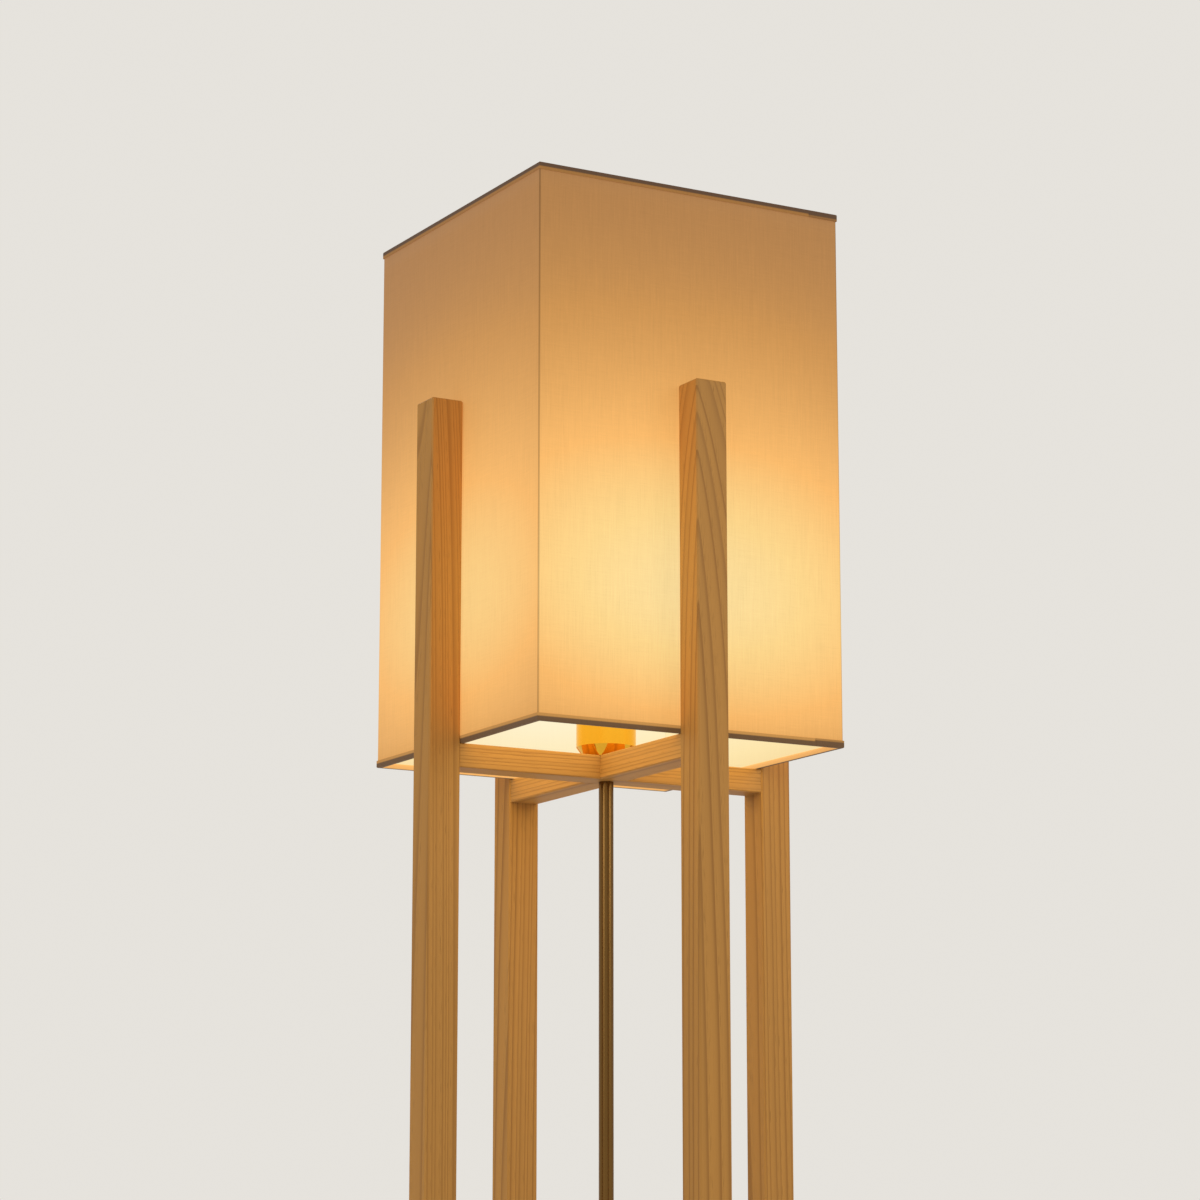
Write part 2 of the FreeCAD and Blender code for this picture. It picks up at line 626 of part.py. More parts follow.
for side, (turn, across, along) in SIDES.items():
    spot = {"across": f"{across} * {POST_OFFSET}" if across else 0,
            "along": f"{along} * {POST_OFFSET}" if along else 0}
    post = make_post(side)
    place(post, turn=turn, **spot)
    glide = make_glide(side)
    place(glide, **spot)
    kept += [post, glide]

nails = []
for side, (turn, across, along) in SIDES.items():
    nail = make_nail(side)
    place(nail, across=f"{across} * {POST_OFFSET}" if across else 0,
          along=f"{along} * {POST_OFFSET}" if along else 0)
    nails.append(nail)
kept.append(group("glide_nails", nails))

for level, foot in (("lower", "lower_rail_rise"), ("upper", UPPER_UNDERSIDE)):
    side_rail = make_rail(f"{level}_side_rail", notch_on_top=True)
    place(side_rail, lift=foot)
    cross_rail = make_rail(f"{level}_cross_rail", notch_on_top=False)
    place(cross_rail, lift=foot, turn=90)
    kept += [side_rail, cross_rail]

nipple_foot = f"({BUSH_TOP} - cord_bush_height + cord_bush_floor)"
kept += [
    make_pipe("stem_tube", "tube_radius", THREAD_HOLE, LOWER_TOP, UPPER_UNDERSIDE),
    make_pipe("lower_nipple", "nipple_radius", "nipple_bore", nipple_foot,
              f"({LOWER_TOP} + nipple_engagement)"),
    make_pipe("upper_nipple", "nipple_radius", "nipple_bore", f"({UPPER_UNDERSIDE} - nipple_engagement)",
              f"({BRACKET_FOOT} + collar_height)"),
    make_pipe("lower_washer", "washer_radius", THREAD_HOLE, "(lower_rail_rise - washer_thick)",
              "lower_rail_rise"),
    make_nut("lower_nut", BUSH_TOP),
    make_cord_bush(),
    make_cup(),
    make_nut("cup_nut", "seat_height + cup_floor"),
    make_bracket(),
    make_holder_base(),
    make_holder_sleeve(),
    make_shell(),
    make_centre_contact(),
]

plate_screws = []
for name, across in (("left_plate_screw", "-bracket_screw_offset"),
                     ("right_plate_screw", "bracket_screw_offset")):
    screw = make_screw(name, "bracket_head_radius", "bracket_head_height", "bracket_screw_radius",
                       "bracket_screw_length", upwards=True)
    place(screw, across=across, lift=BRACKET_FOOT)
    plate_screws.append(screw)
kept.append(group("bracket_screws", plate_screws))

small_screws = []
for name, across in (("foot_screw", "-foot_screw_offset"), ("shell_screw", "shell_screw_offset")):
    screw = make_screw(name, "contact_head_radius", "contact_head_height", "contact_screw_radius",
                       "contact_screw_length", upwards=False)
    place(screw, across=across, lift=f"{SOCKET_FLOOR} + leaf_thick")
    small_screws.append(screw)
kept.append(group("contact_screws", small_screws))

kept += make_bulb()

kept += [
    make_sleeve("shade_backing", BACKING_FACE, "fold_radius - fabric_thick - glue_line", "backing_thick"),
    make_sleeve("shade_fabric", "shade_side / 2", "fold_radius", "fabric_thick"),
]
for name, maker in (("ring", make_ring), ("binding", make_binding)):
    bottom = maker(f"bottom_{name}")
    place(bottom, lift="seat_height")
    top = maker(f"top_{name}")
    place(top, lift="seat_height + shade_height", flip=180)
    kept += [bottom, top]

doc.recompute()

for thing in doc.Objects:
    if {"Invalid", "Error"} & set(thing.State):
        raise ValueError(f"{thing.Label} is {thing.State}")
os.makedirs("parts", exist_ok=True)
for thing in kept:
    if thing.Shape.isNull() or not thing.Shape.isValid() or not thing.Shape.Solids:
        raise ValueError(f"{thing.Label} has no valid solid")
for thing in kept:
    thing.Shape.exportStep(f"parts/{thing.Label}.step")
    print(f"{thing.Label}: {len(thing.Shape.Solids)} solid(s), {thing.Shape.Volume:.1f} mm3")
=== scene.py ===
# %% [markdown]
# # An andon floor lamp, dressed step by step
# A tall square fabric shade stands between four square ash posts, on two crossed rails.
# The solids come ready from the CAD model, in metres and in their place. Here they get their finishes,
# and the cloth, the rolled hems and the bulb are modelled as what they are.

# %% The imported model
import math

import bmesh
import bpy
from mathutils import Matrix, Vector


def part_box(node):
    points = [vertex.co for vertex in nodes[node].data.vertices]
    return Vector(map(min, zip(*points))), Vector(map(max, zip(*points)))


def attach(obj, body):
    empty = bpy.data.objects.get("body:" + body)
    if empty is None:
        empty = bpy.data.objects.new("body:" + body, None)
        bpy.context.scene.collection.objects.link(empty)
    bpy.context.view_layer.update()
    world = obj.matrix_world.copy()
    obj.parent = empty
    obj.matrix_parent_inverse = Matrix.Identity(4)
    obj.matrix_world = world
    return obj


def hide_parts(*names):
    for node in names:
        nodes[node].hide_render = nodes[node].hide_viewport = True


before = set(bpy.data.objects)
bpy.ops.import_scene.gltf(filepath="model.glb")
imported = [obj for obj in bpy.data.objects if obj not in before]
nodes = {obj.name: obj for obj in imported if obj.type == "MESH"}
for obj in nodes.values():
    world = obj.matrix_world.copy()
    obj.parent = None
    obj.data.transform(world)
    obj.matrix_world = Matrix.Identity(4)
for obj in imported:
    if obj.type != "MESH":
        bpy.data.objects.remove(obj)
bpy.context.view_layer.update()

# %% [markdown]
# The shade and the bulb set the sizes of everything modelled here, so those are measured on the solids
# and not typed again: a changed solid then changes the cloth and the hems with it.

# %% Sizes read from the solids
GLOW_UNDER_TOP = 0.010
cloth_low, cloth_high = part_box("shade_fabric")
hem_low, hem_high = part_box("bottom_binding")
top_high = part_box("top_binding")[1]
globe_low, globe_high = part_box("bulb_globe")
face = cloth_high.x
glow_height = globe_high.z - GLOW_UNDER_TOP
print("faces of the shade at", round(face, 4), "m; the glow is brightest at", round(glow_height, 3), "m")

# %% [markdown]
# ## Node groups
# An effect that several finishes share is built once, as a group with named inputs and outputs.
# A group only hands out masks, heights and values; the shader itself stays in each material.
# Small helpers keep the trees readable: one adds a node and fills its sockets, the others are the sums,
# steps and noises that come back in every tree, and the last one starts a group.


# %% Helpers for node trees
def add(tree, kind, inputs=None, **settings):
    """A node with its settings; an input is a value or another node's output socket."""
    node = tree.nodes.new(kind)
    for key, value in settings.items():
        setattr(node, key, value)
    for key, value in (inputs or {}).items():
        socket = node.inputs[key]
        if isinstance(value, bpy.types.NodeSocket):
            tree.links.new(value, socket)
        else:
            socket.default_value = value
    return node


def math_node(tree, operation, *values):
    return add(tree, "ShaderNodeMath", dict(enumerate(values)), operation=operation).outputs[0]


def plus(tree, one, other):
    return math_node(tree, "ADD", one, other)


def minus(tree, one, other):
    return math_node(tree, "SUBTRACT", one, other)


def times(tree, one, other):
    return math_node(tree, "MULTIPLY", one, other)


def divide(tree, one, other):
    return math_node(tree, "DIVIDE", one, other)


def absolute(tree, value):
    return math_node(tree, "ABSOLUTE", value)


def separate(tree, vector):
    return add(tree, "ShaderNodeSeparateXYZ", {0: vector}).outputs


def combine(tree, x=0.0, y=0.0, z=0.0):
    return add(tree, "ShaderNodeCombineXYZ", {0: x, 1: y, 2: z}).outputs[0]


def step_up(tree, value, low, high):
    """0 under low, 1 over high, and a smooth rise between them."""
    return add(tree, "ShaderNodeMapRange", {"Value": value, "From Min": low, "From Max": high},
               interpolation_type="SMOOTHSTEP").outputs["Result"]


def noise(tree, vector, detail=2.0, rough=0.5, scale=1.0):
    return add(tree, "ShaderNodeTexNoise", {"Vector": vector, "Scale": scale, "Detail": detail,
                                            "Roughness": rough}).outputs["Fac"]


def noise_to(tree, value, low, high):
    """Most of a noise lies between 0.3 and 0.7; that span becomes low to high."""
    return add(tree, "ShaderNodeMapRange", {"Value": value, "From Min": 0.3, "From Max": 0.7,
                                            "To Min": low, "To Max": high}).outputs["Result"]


def stretch(tree, vector, scale=(1, 1, 1), place=(0, 0, 0), turn=(0, 0, 0)):
    """The same point, moved, turned and scaled, so that a texture runs along a direction."""
    return add(tree, "ShaderNodeMapping", {"Vector": vector, "Location": place, "Rotation": turn,
                                           "Scale": scale}).outputs[0]


def new_group(name, inputs, outputs, kind="ShaderNodeTree"):
    """An empty group with its sockets; inputs are (name, type, default)."""
    group = bpy.data.node_groups.new(name, kind)
    for label, socket, value in inputs:
        made = group.interface.new_socket(label, in_out="INPUT", socket_type=socket)
        if value is not None:
            made.default_value = value
    for label, socket in outputs:
        group.interface.new_socket(label, in_out="OUTPUT", socket_type=socket)
    return group, group.nodes.new("NodeGroupInput").outputs, group.nodes.new("NodeGroupOutput").inputs


FLOAT, VECTOR, GEOMETRY = "NodeSocketFloat", "NodeSocketVector", "NodeSocketGeometry"
WHOLE, MATERIAL = "NodeSocketInt", "NodeSocketMaterial"
print("helpers ready")

# %% [markdown]
# ### Growth rings
# A board is cut from a trunk, so its grain is a stack of nearly round shells about the pith. The pattern
# is solid: the distance from a pith line, divided by the ring width, gives the rings on every face at
# once, straight lines on one face, cathedral arches on the next and arcs on the end grain. A picture
# wrapped round the post couldn't do that. Near a board's end the trunk may have curved: there the rings
# run out of the face as slanted lines, so a sweep that grows towards the end is added to the lean. Years
# differ, so a slow noise over the rings makes some wide and some narrow, and each year's late wood has a
# depth of its own. Ash adds open pores in the early wood and fine fibres.

# %% Growth rings group
SWEEP_REACH = 0.15


def make_growth_rings():
    group, given, out = new_group(
        "growth_rings",
        [("Vector", VECTOR, None), ("Pith X", FLOAT, 0.02), ("Pith Y", FLOAT, 0.06), ("Lean", FLOAT, 0.03),
         ("Sweep", FLOAT, 0.0), ("Ring Width", FLOAT, 0.006), ("Wander", FLOAT, 0.006), ("Seed", FLOAT, 0.0)],
        [("Late Wood", FLOAT), ("Tone", FLOAT), ("Pores", FLOAT), ("Height", FLOAT)])
    shift = combine(group, given["Seed"], given["Seed"], given["Seed"])
    seeded = add(group, "ShaderNodeVectorMath", {0: given["Vector"], 1: shift}, operation="ADD").outputs[0]
    point = separate(group, given["Vector"])
    wave = noise(group, stretch(group, seeded, (9, 9, 1.6)))
    swing = times(group, minus(group, wave, 0.5), given["Wander"])
    grown = math_node(group, "EXPONENT", divide(group, point["Z"], SWEEP_REACH))
    lean = plus(group, times(group, point["Z"], given["Lean"]),
                times(group, grown, times(group, given["Sweep"], SWEEP_REACH)))
    across = minus(group, plus(group, point["X"], lean), given["Pith X"])
    deep = minus(group, point["Y"], given["Pith Y"])
    reach = math_node(group, "SQRT", plus(group, times(group, across, across), times(group, deep, deep)))
    steady = divide(group, plus(group, reach, swing), given["Ring Width"])
    weather = add(group, "ShaderNodeTexNoise", {"W": times(group, steady, 0.6), "Scale": 1.0, "Detail": 0.0},
                  noise_dimensions="1D").outputs["Fac"]
    rings = plus(group, steady, times(group, weather, 1.1))
    part = math_node(group, "FRACT", rings)
    dark = plus(group, times(group, step_up(group, part, 0.25, 0.9), 0.35),
                times(group, step_up(group, part, 0.62, 0.9), 0.65))
    year = math_node(group, "FLOOR", rings)
    yearly = add(group, "ShaderNodeTexWhiteNoise", {"W": year}, noise_dimensions="1D").outputs["Value"]
    depth = plus(group, 0.55, times(group, yearly, 0.45))
    late = times(group, times(group, dark, depth), minus(group, 1.0, step_up(group, part, 0.93, 1.0)))
    fibre = noise(group, stretch(group, seeded, (1500, 1500, 16)), 3.0, 0.6)
    broad = noise(group, stretch(group, seeded, (60, 60, 3)))
    tone = plus(group, times(group, fibre, 0.5),
                plus(group, times(group, yearly, 0.2), times(group, broad, 0.3)))
    vessels = noise(group, stretch(group, seeded, (2600, 2600, 60)), 1.0)
    early = minus(group, 1.0, step_up(group, part, 0.1, 0.45))
    pores = times(group, step_up(group, vessels, 0.56, 0.7), early)
    height = minus(group, times(group, fibre, 0.4), times(group, pores, 0.8))
    for label, value in (("Late Wood", late), ("Tone", tone), ("Pores", pores), ("Height", height)):
        group.links.new(value, out[label])
    return group


GROWTH_RINGS = make_growth_rings()
print("group", GROWTH_RINGS.name)

# %% [markdown]
# ### The lamp's glow on the shade
# A diffusing shade is brightest beside the bulb and dims with the distance. A lamp inside that shines
# through a thin sheet would need thousands of light paths a pixel, so the glow is a mask instead: a bell
# curve over the height, wider above the bulb than below it, a little lower towards a face's edges. The
# photograph shows the left face a little dimmer than the right one, so that pair of faces is turned down.

# %% Glow group
EDGE_AT = 0.13
CORNER_FROM, CORNER_TO = 0.1484, 0.1494


def make_lamp_glow():
    group, given, out = new_group(
        "lamp_glow",
        [("Vector", VECTOR, None), ("Bulb Height", FLOAT, 1.14), ("Reach Up", FLOAT, 0.185),
         ("Reach Down", FLOAT, 0.150), ("Edge Loss", FLOAT, 0.16), ("Dim Pair", FLOAT, 0.18)],
        [("Glow", FLOAT), ("Corner", FLOAT)])
    point = separate(group, given["Vector"])
    rise = minus(group, point["Z"], given["Bulb Height"])
    above = math_node(group, "GREATER_THAN", rise, 0.0)
    reach = plus(group, times(group, above, given["Reach Up"]),
                 times(group, minus(group, 1.0, above), given["Reach Down"]))
    share = divide(group, rise, reach)
    bell = math_node(group, "EXPONENT", times(group, times(group, share, share), -1.0))
    out_x = absolute(group, point["X"])
    out_y = absolute(group, point["Y"])
    wide = math_node(group, "MINIMUM", out_x, out_y)
    side = divide(group, wide, EDGE_AT)
    loss = times(group, times(group, side, side), given["Edge Loss"])
    left_right = math_node(group, "GREATER_THAN", out_x, out_y)
    turned_down = minus(group, 1.0, times(group, left_right, given["Dim Pair"]))
    glow = times(group, times(group, bell, turned_down), minus(group, 1.0, loss))
    group.links.new(glow, out["Glow"])
    group.links.new(step_up(group, wide, CORNER_FROM, CORNER_TO), out["Corner"])
    return group


LAMP_GLOW = make_lamp_glow()
print("group", LAMP_GLOW.name)

# %% [markdown]
# ### Slub weave
# The cloth is a plain weave of uneven yarns. From a step away the single threads vanish and the thicker
# slubs stay, as faint streaks that run up the face and round it. On a square shade x + y goes evenly
# round every face, so one pair of coordinates serves all four without a seam map.

# %% Weave group
YARN_LENGTH = 34.0
UP_SEED, ROUND_SEED = 3.7, 9.1


def make_slub_weave():
    group, given, out = new_group(
        "slub_weave", [("Vector", VECTOR, None), ("Thread", FLOAT, 0.0004), ("Slub", FLOAT, 0.0011)],
        [("Streaks", FLOAT), ("Height", FLOAT)])
    point = separate(group, given["Vector"])
    round_way = plus(group, point["X"], point["Y"])

    def yarns(size, up):
        over, along = (round_way, point["Z"]) if up else (point["Z"], round_way)
        fine = divide(group, over, size)
        slow = divide(group, along, times(group, size, YARN_LENGTH))
        return noise(group, combine(group, fine, slow, UP_SEED if up else ROUND_SEED), 2.0, 0.55)

    slubs = plus(group, times(group, yarns(given["Slub"], True), 0.68),
                 times(group, yarns(given["Slub"], False), 0.32))
    threads = plus(group, times(group, yarns(given["Thread"], True), 0.5),
                   times(group, yarns(given["Thread"], False), 0.5))
    group.links.new(plus(group, times(group, slubs, 0.5), times(group, threads, 0.5)), out["Streaks"])
    group.links.new(threads, out["Height"])
    return group


SLUB_WEAVE = make_slub_weave()
print("group", SLUB_WEAVE.name)

# %% [markdown]
# ### Handling marks
# No metal, glaze or plastic is even. A soft cloud and some fine lines change the roughness a little, and
# that is what makes a highlight look real when the eye moves.


# %% Handling group
def make_handling():
    group, given, out = new_group(
        "handling", [("Vector", VECTOR, None), ("Cloud", FLOAT, 25.0), ("Lines", VECTOR, (1, 1, 1))],
        [("Cloud", FLOAT), ("Lines", FLOAT)])
    lined = add(group, "ShaderNodeVectorMath", {0: given["Vector"], 1: given["Lines"]}, operation="MULTIPLY")
    group.links.new(noise(group, given["Vector"], 3.0, scale=given["Cloud"]), out["Cloud"])
    group.links.new(noise(group, lined.outputs[0], 3.0, 0.6), out["Lines"])
    return group


HANDLING = make_handling()
print("group", HANDLING.name)

# %% [markdown]
# ## Finishes
# Every finish starts from the same few lines: a material, its Principled shader and the object's own
# coordinates. Numbers that are the same all over are set on the shader, and only what changes over the
# surface is linked to it.


# %% Helpers for finishes
def finish(name, **constants):
    """A material with its tree, shader and Object coordinates."""
    material = bpy.data.materials.new(name)
    material.use_nodes = True
    tree = material.node_tree
    shader = tree.nodes["Principled BSDF"]
    for key, value in constants.items():
        shader.inputs[key.replace("_", " ").title().replace("Ior", "IOR")].default_value = value
    return material, tree, shader, add(tree, "ShaderNodeTexCoord").outputs["Object"]


def use_group(tree, group, **inputs):
    named = {key.replace("_", " "): value for key, value in inputs.items()}
    return add(tree, "ShaderNodeGroup", named, node_tree=group).outputs


def blend_colours(tree, factor, low, high):
    """low where the factor is 0, high where it is 1; each is a colour or a socket."""
    low, high = ((*end, 1) if isinstance(end, tuple) else end for end in (low, high))
    return add(tree, "ShaderNodeMix", {0: factor, 6: low, 7: high}, data_type="RGBA").outputs[2]


def tones(colour, low, high):
    """A darker and a lighter tone of a colour."""
    return tuple(c * low for c in colour), tuple(min(1, c * high) for c in colour)


def scale_into(tree, shader, socket, source, amount):
    """A colour times an amount, into one of the shader's sockets."""
    scaled = add(tree, "ShaderNodeVectorMath", {0: source, "Scale": amount}, operation="SCALE")
    tree.links.new(scaled.outputs[0], shader.inputs[socket])


def raise_surface(tree, shader, height, distance, strength):
    bump = add(tree, "ShaderNodeBump", {"Height": height, "Distance": distance, "Strength": strength})
    tree.links.new(bump.outputs[0], shader.inputs["Normal"])


def dress(node, material):
    """Give a CAD solid its finish; its mesh is left alone."""
    if nodes[node].material_slots:
        for slot in nodes[node].material_slots:
            slot.material = material
    else:
        nodes[node].data.materials.append(material)


print("finish helpers ready")

# %% [markdown]
# ### Ash with a satin coat
# Each post and rail comes from its own board, so each gets its own pith, lean and seed, while one
# function holds the recipe. The grain runs up a post and along a rail: the mapping turns the rail's
# length into the group's Z. The satin lacquer is the shader's thin coat.

# %% Ash for posts and rails
PALE_WOOD = (0.470, 0.220, 0.046)
LATE_WOOD = (0.200, 0.077, 0.0135)
GRAIN_DEPTH = 0.00012


def ash(name, centre, turn, pith, lean, sweep, ring, seed, shade_of, wander):
    material, tree, shader, here = finish(
        name, roughness=0.62, specular_ior_level=0.15, coat_weight=0.04, coat_roughness=0.3)
    board = stretch(tree, stretch(tree, here, place=tuple(-c for c in centre)), turn=turn)
    rings = use_group(tree, GROWTH_RINGS, Vector=board, Pith_X=pith[0], Pith_Y=pith[1], Lean=lean,
                      Sweep=sweep, Ring_Width=ring, Wander=wander, Seed=seed)
    pale = tuple(c * shade_of for c in PALE_WOOD)
    late = tuple(c * shade_of for c in LATE_WOOD)
    grain = blend_colours(tree, rings["Late Wood"], pale, late)
    toned = blend_colours(tree, step_up(tree, rings["Tone"], 0.25, 0.8), *tones(pale, 0.80, 1.12))
    mixed = blend_colours(tree, 0.42, grain, toned)
    pored = blend_colours(tree, times(tree, rings["Pores"], 0.45), mixed, tuple(c * 0.6 for c in late))
    tree.links.new(pored, shader.inputs["Base Color"])
    rough = add(tree, "ShaderNodeMapRange", {"Value": rings["Tone"], "To Min": 0.54, "To Max": 0.70})
    tree.links.new(rough.outputs["Result"], shader.inputs["Roughness"])
    raise_surface(tree, shader, rings["Height"], GRAIN_DEPTH, 0.6)
    return material


UPRIGHT, ALONG_X, ALONG_Y = (0, 0, 0), (0, math.pi / 2, 0), (math.pi / 2, 0, 0)
UPPER, LOWER = (0, 0, 1.0095), (0, 0, 0.1305)
post_low, post_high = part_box("right_post")
spot, top = (post_low.x + post_high.x) / 2, post_high.z
# each board: its centre, its direction, where the pith is, lean, sweep, ring width, seed, shade, wander
boards = {
    "front_post": ((0, -spot, top), UPRIGHT, (-0.069, -0.098), 0.006, 0.36, 0.0070, 3.1, 0.95, 0.006),
    "left_post": ((-spot, 0, top), UPRIGHT, (0.090, 0.020), 0.006, 0.06, 0.0038, 7.7, 0.98, 0.005),
    "right_post": ((spot, 0, top), UPRIGHT, (-0.055, 0.012), 0.01, 0.0, 0.0046, 12.4, 1.0, 0.007),
    "back_post": ((0, spot, top), UPRIGHT, (0.055, -0.020), -0.012, 0.0, 0.0044, 17.9, 1.02, 0.006),
    "upper_side_rail": (UPPER, ALONG_X, (0.050, 0.006), 0.010, 0.0, 0.0030, 23.3, 1.06, 0.005),
    "upper_cross_rail": (UPPER, ALONG_Y, (0.006, 0.050), 0.012, 0.0, 0.0032, 29.6, 1.08, 0.005),
    "lower_side_rail": (LOWER, ALONG_X, (0.048, 0.006), 0.010, 0.0, 0.0036, 34.2, 1.0, 0.005),
    "lower_cross_rail": (LOWER, ALONG_Y, (0.006, 0.044), -0.010, 0.0, 0.0034, 41.5, 1.03, 0.005),
}
for node, recipe in boards.items():
    dress(node, ash("ash_" + node, *recipe))
print("wood on", len(boards), "boards")

# %% [markdown]
# ### Brass
# The stem is drawn tube, brushed along its length. Its brass gets a dark base colour, painted shade that
# stands for the dark surroundings it reflects. The cup is brushed upwards, and its tapered underside is
# polished, so it mirrors the rails. One mask by height tells the two apart.

# %% Brass for the stem and the cup
BRASS = (0.98, 0.505, 0.040)
# painted shade: the stem's brass is darkened to stand for the dark surroundings it reflects
SHADED_BRASS = (0.17, 0.088, 0.024)
CONTACT_BRASS = (0.72, 0.56, 0.30)
TAPER_HEIGHT, POLISH_EDGE = 0.0093, 0.0003


def brass(name, lines, rough_low, rough_high, polish=None, base=BRASS):
    material, tree, shader, here = finish(name, metallic=1.0, roughness=rough_low)
    marks = use_group(tree, HANDLING, Vector=here, Cloud=30.0, Lines=lines)
    amount = plus(tree, times(tree, marks["Lines"], 0.7), times(tree, marks["Cloud"], 0.3))
    rough = noise_to(tree, amount, rough_low, rough_high)
    if polish:
        brushed = step_up(tree, separate(tree, here)["Z"], polish - POLISH_EDGE, polish + POLISH_EDGE)
        rough = times(tree, rough, plus(tree, 0.3, times(tree, brushed, 0.7)))
    tree.links.new(blend_colours(tree, amount, *tones(base, 0.90, 1.05)), shader.inputs["Base Color"])
    tree.links.new(rough, shader.inputs["Roughness"])
    raise_surface(tree, shader, marks["Lines"], 0.00001, 0.3)
    return material


polish_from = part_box("lampholder_cup")[0].z + TAPER_HEIGHT
dress("lampholder_cup", brass("turned_brass", (420, 420, 9), 0.15, 0.24, polish=polish_from))
dress("stem_tube", brass("drawn_brass", (2600, 2600, 14), 0.16, 0.26, base=SHADED_BRASS))
for node in ("centre_contact", "bulb_contact"):
    dress(node, brass("contact_brass", (300, 300, 300), 0.24, 0.40, base=CONTACT_BRASS))
print("brass on the cup, the stem and the contacts")

# %% [markdown]
# ### Zinc, aluminium, porcelain and plastics
# The small parts differ in colour, gloss and metal, and share one recipe with the handling marks.

# %% Small parts
LEAST_ROUGH = 0.03


def plain_finish(name, base, rough, metallic=0.0, lines=(80, 80, 80), spread=0.12, bump=0.00002, **constants):
    material, tree, shader, here = finish(name, metallic=metallic, roughness=rough, **constants)
    marks = use_group(tree, HANDLING, Vector=here, Cloud=60.0, Lines=lines)
    colour = blend_colours(tree, marks["Cloud"], *tones(base, 0.88, 1.07))
    tree.links.new(colour, shader.inputs["Base Color"])
    uneven = noise_to(tree, marks["Cloud"], max(rough - spread, LEAST_ROUGH), rough + spread)
    tree.links.new(uneven, shader.inputs["Roughness"])
    raise_surface(tree, shader, marks["Lines"], bump, 0.5)
    return material


zinc = plain_finish("zinc_plate", (0.60, 0.61, 0.62), 0.36, metallic=1.0, lines=(900, 900, 900))
aluminium = plain_finish("pressed_aluminium", (0.78, 0.78, 0.77), 0.28, metallic=1.0, lines=(200, 200, 3000))
porcelain = plain_finish("glazed_porcelain", (0.86, 0.85, 0.80), 0.14, spread=0.05, coat_weight=0.5,
                         coat_roughness=0.06)
dark_plastic = plain_finish("moulded_dark_plastic", (0.045, 0.042, 0.038), 0.52, lines=(1500, 1500, 1500),
                            bump=0.00006)
black_glass = plain_finish("black_insulator", (0.012, 0.012, 0.013), 0.16, spread=0.05)
white_plastic = plain_finish("white_moulded_plastic", (0.84, 0.84, 0.82), 0.42, lines=(900, 900, 900))
finishes = {
    zinc: ["glide_nails", "lower_washer", "lower_nut", "cup_nut", "holder_bracket", "bracket_screws",
           "contact_screws", "top_ring", "bottom_ring", "lower_nipple", "upper_nipple"],
    porcelain: ["holder_base", "holder_sleeve"],
    dark_plastic: ["left_glide", "right_glide", "front_glide", "back_glide", "cord_bush"],
    black_glass: ["bulb_insulator"],
}
for material, wearers in finishes.items():
    for node in wearers:
        dress(node, material)
print("small parts:", sum(len(w) for w in finishes.values()))

# %% [markdown]
# ### The lit cloth
# Unlit, the cloth is off-white. Lit from inside it is amber at the top and a pale warm yellow beside the
# bulb. A colour ramp turns the glow mask into that light, and the cloth's own colour is kept low, so that
# the studio light on top of the glow doesn't bleach it. Slubs dim the light where the yarn is thicker, and
# a fold lets less light through, which draws the thin dark line at the corners. So does the lap at the
# back corner, where the cloth is double.
#
# No screen shows how bright a lit lamp is. Seen directly or in a mirror, the glow stays within what a
# screen can show; the light that it throws on the wood around it is two to three times as strong.

# %% Lit cloth
LAP_WIDE, LAP_BACK = 0.012, 0.0015
LAP_SKIN, LAP_FADE = 0.0008, 0.0004
lap_from = face - LAP_WIDE - LAP_BACK
LIGHT_STEPS = ((0.0, (0.215, 0.092, 0.031)), (0.175, (0.415, 0.188, 0.046)), (0.6, (0.765, 0.395, 0.112)),
               (0.88, (0.79, 0.575, 0.225)), (1.0, (0.79, 0.63, 0.29)))


def light_ramp(tree, glow, steps):
    ramp = add(tree, "ShaderNodeValToRGB", {"Fac": glow})
    stops = ramp.color_ramp.elements
    while len(stops) < len(steps):
        stops.new(0.5)
    for stop, (place, colour) in zip(stops, steps):
        stop.position = place
        stop.color = (*colour, 1)
    return ramp.outputs["Color"]


def seen_ray(tree):
    """1 for what the camera sees, directly or in a mirror, and 0 for scattered light."""
    path = add(tree, "ShaderNodeLightPath").outputs
    return math_node(tree, "MAXIMUM", path["Is Camera Ray"], math_node(
        tree, "MAXIMUM", path["Is Glossy Ray"], path["Is Transmission Ray"]))


def lit_cloth(name, base, steps, throw, corner=0.38, streaks=0.09, double=0.0):
    material, tree, shader, here = finish(name, roughness=0.85, specular_ior_level=0.2, sheen_weight=0.12,
                                          sheen_roughness=0.5, emission_strength=1.0)
    glow = use_group(tree, LAMP_GLOW, Vector=here, Bulb_Height=glow_height)
    weave = use_group(tree, SLUB_WEAVE, Vector=here)
    light = light_ramp(tree, glow["Glow"], steps)
    uneven = noise_to(tree, weave["Streaks"], 1 - streaks, 1 + streaks)
    dimmed = times(tree, uneven, minus(tree, 1.0, times(tree, glow["Corner"], corner)))
    if double:
        at = separate(tree, here)
        lapped = times(tree, step_up(tree, at["Y"], face - LAP_SKIN - LAP_FADE, face - LAP_SKIN),
                       step_up(tree, at["X"], lap_from, lap_from + LAP_FADE))
        dimmed = times(tree, dimmed, minus(tree, 1.0, times(tree, lapped, double)))
    thrown = plus(tree, 1.0, times(tree, minus(tree, 1.0, seen_ray(tree)), throw))
    scale_into(tree, shader, "Emission Color", light, times(tree, dimmed, thrown))
    scale_into(tree, shader, "Base Color", base, dimmed)
    raise_surface(tree, shader, weave["Height"], 0.00012, 0.5)
    return material


shade_cloth_finish = lit_cloth("lit_slub_cloth", (0.207, 0.109, 0.034), LIGHT_STEPS, throw=1.0, double=0.13)
print("finish", shade_cloth_finish.name)

# %% [markdown]
# The stiff sheet behind the cloth shows only from inside, where the bulb floods it: nearly white, a
# little warmer away from the bulb.

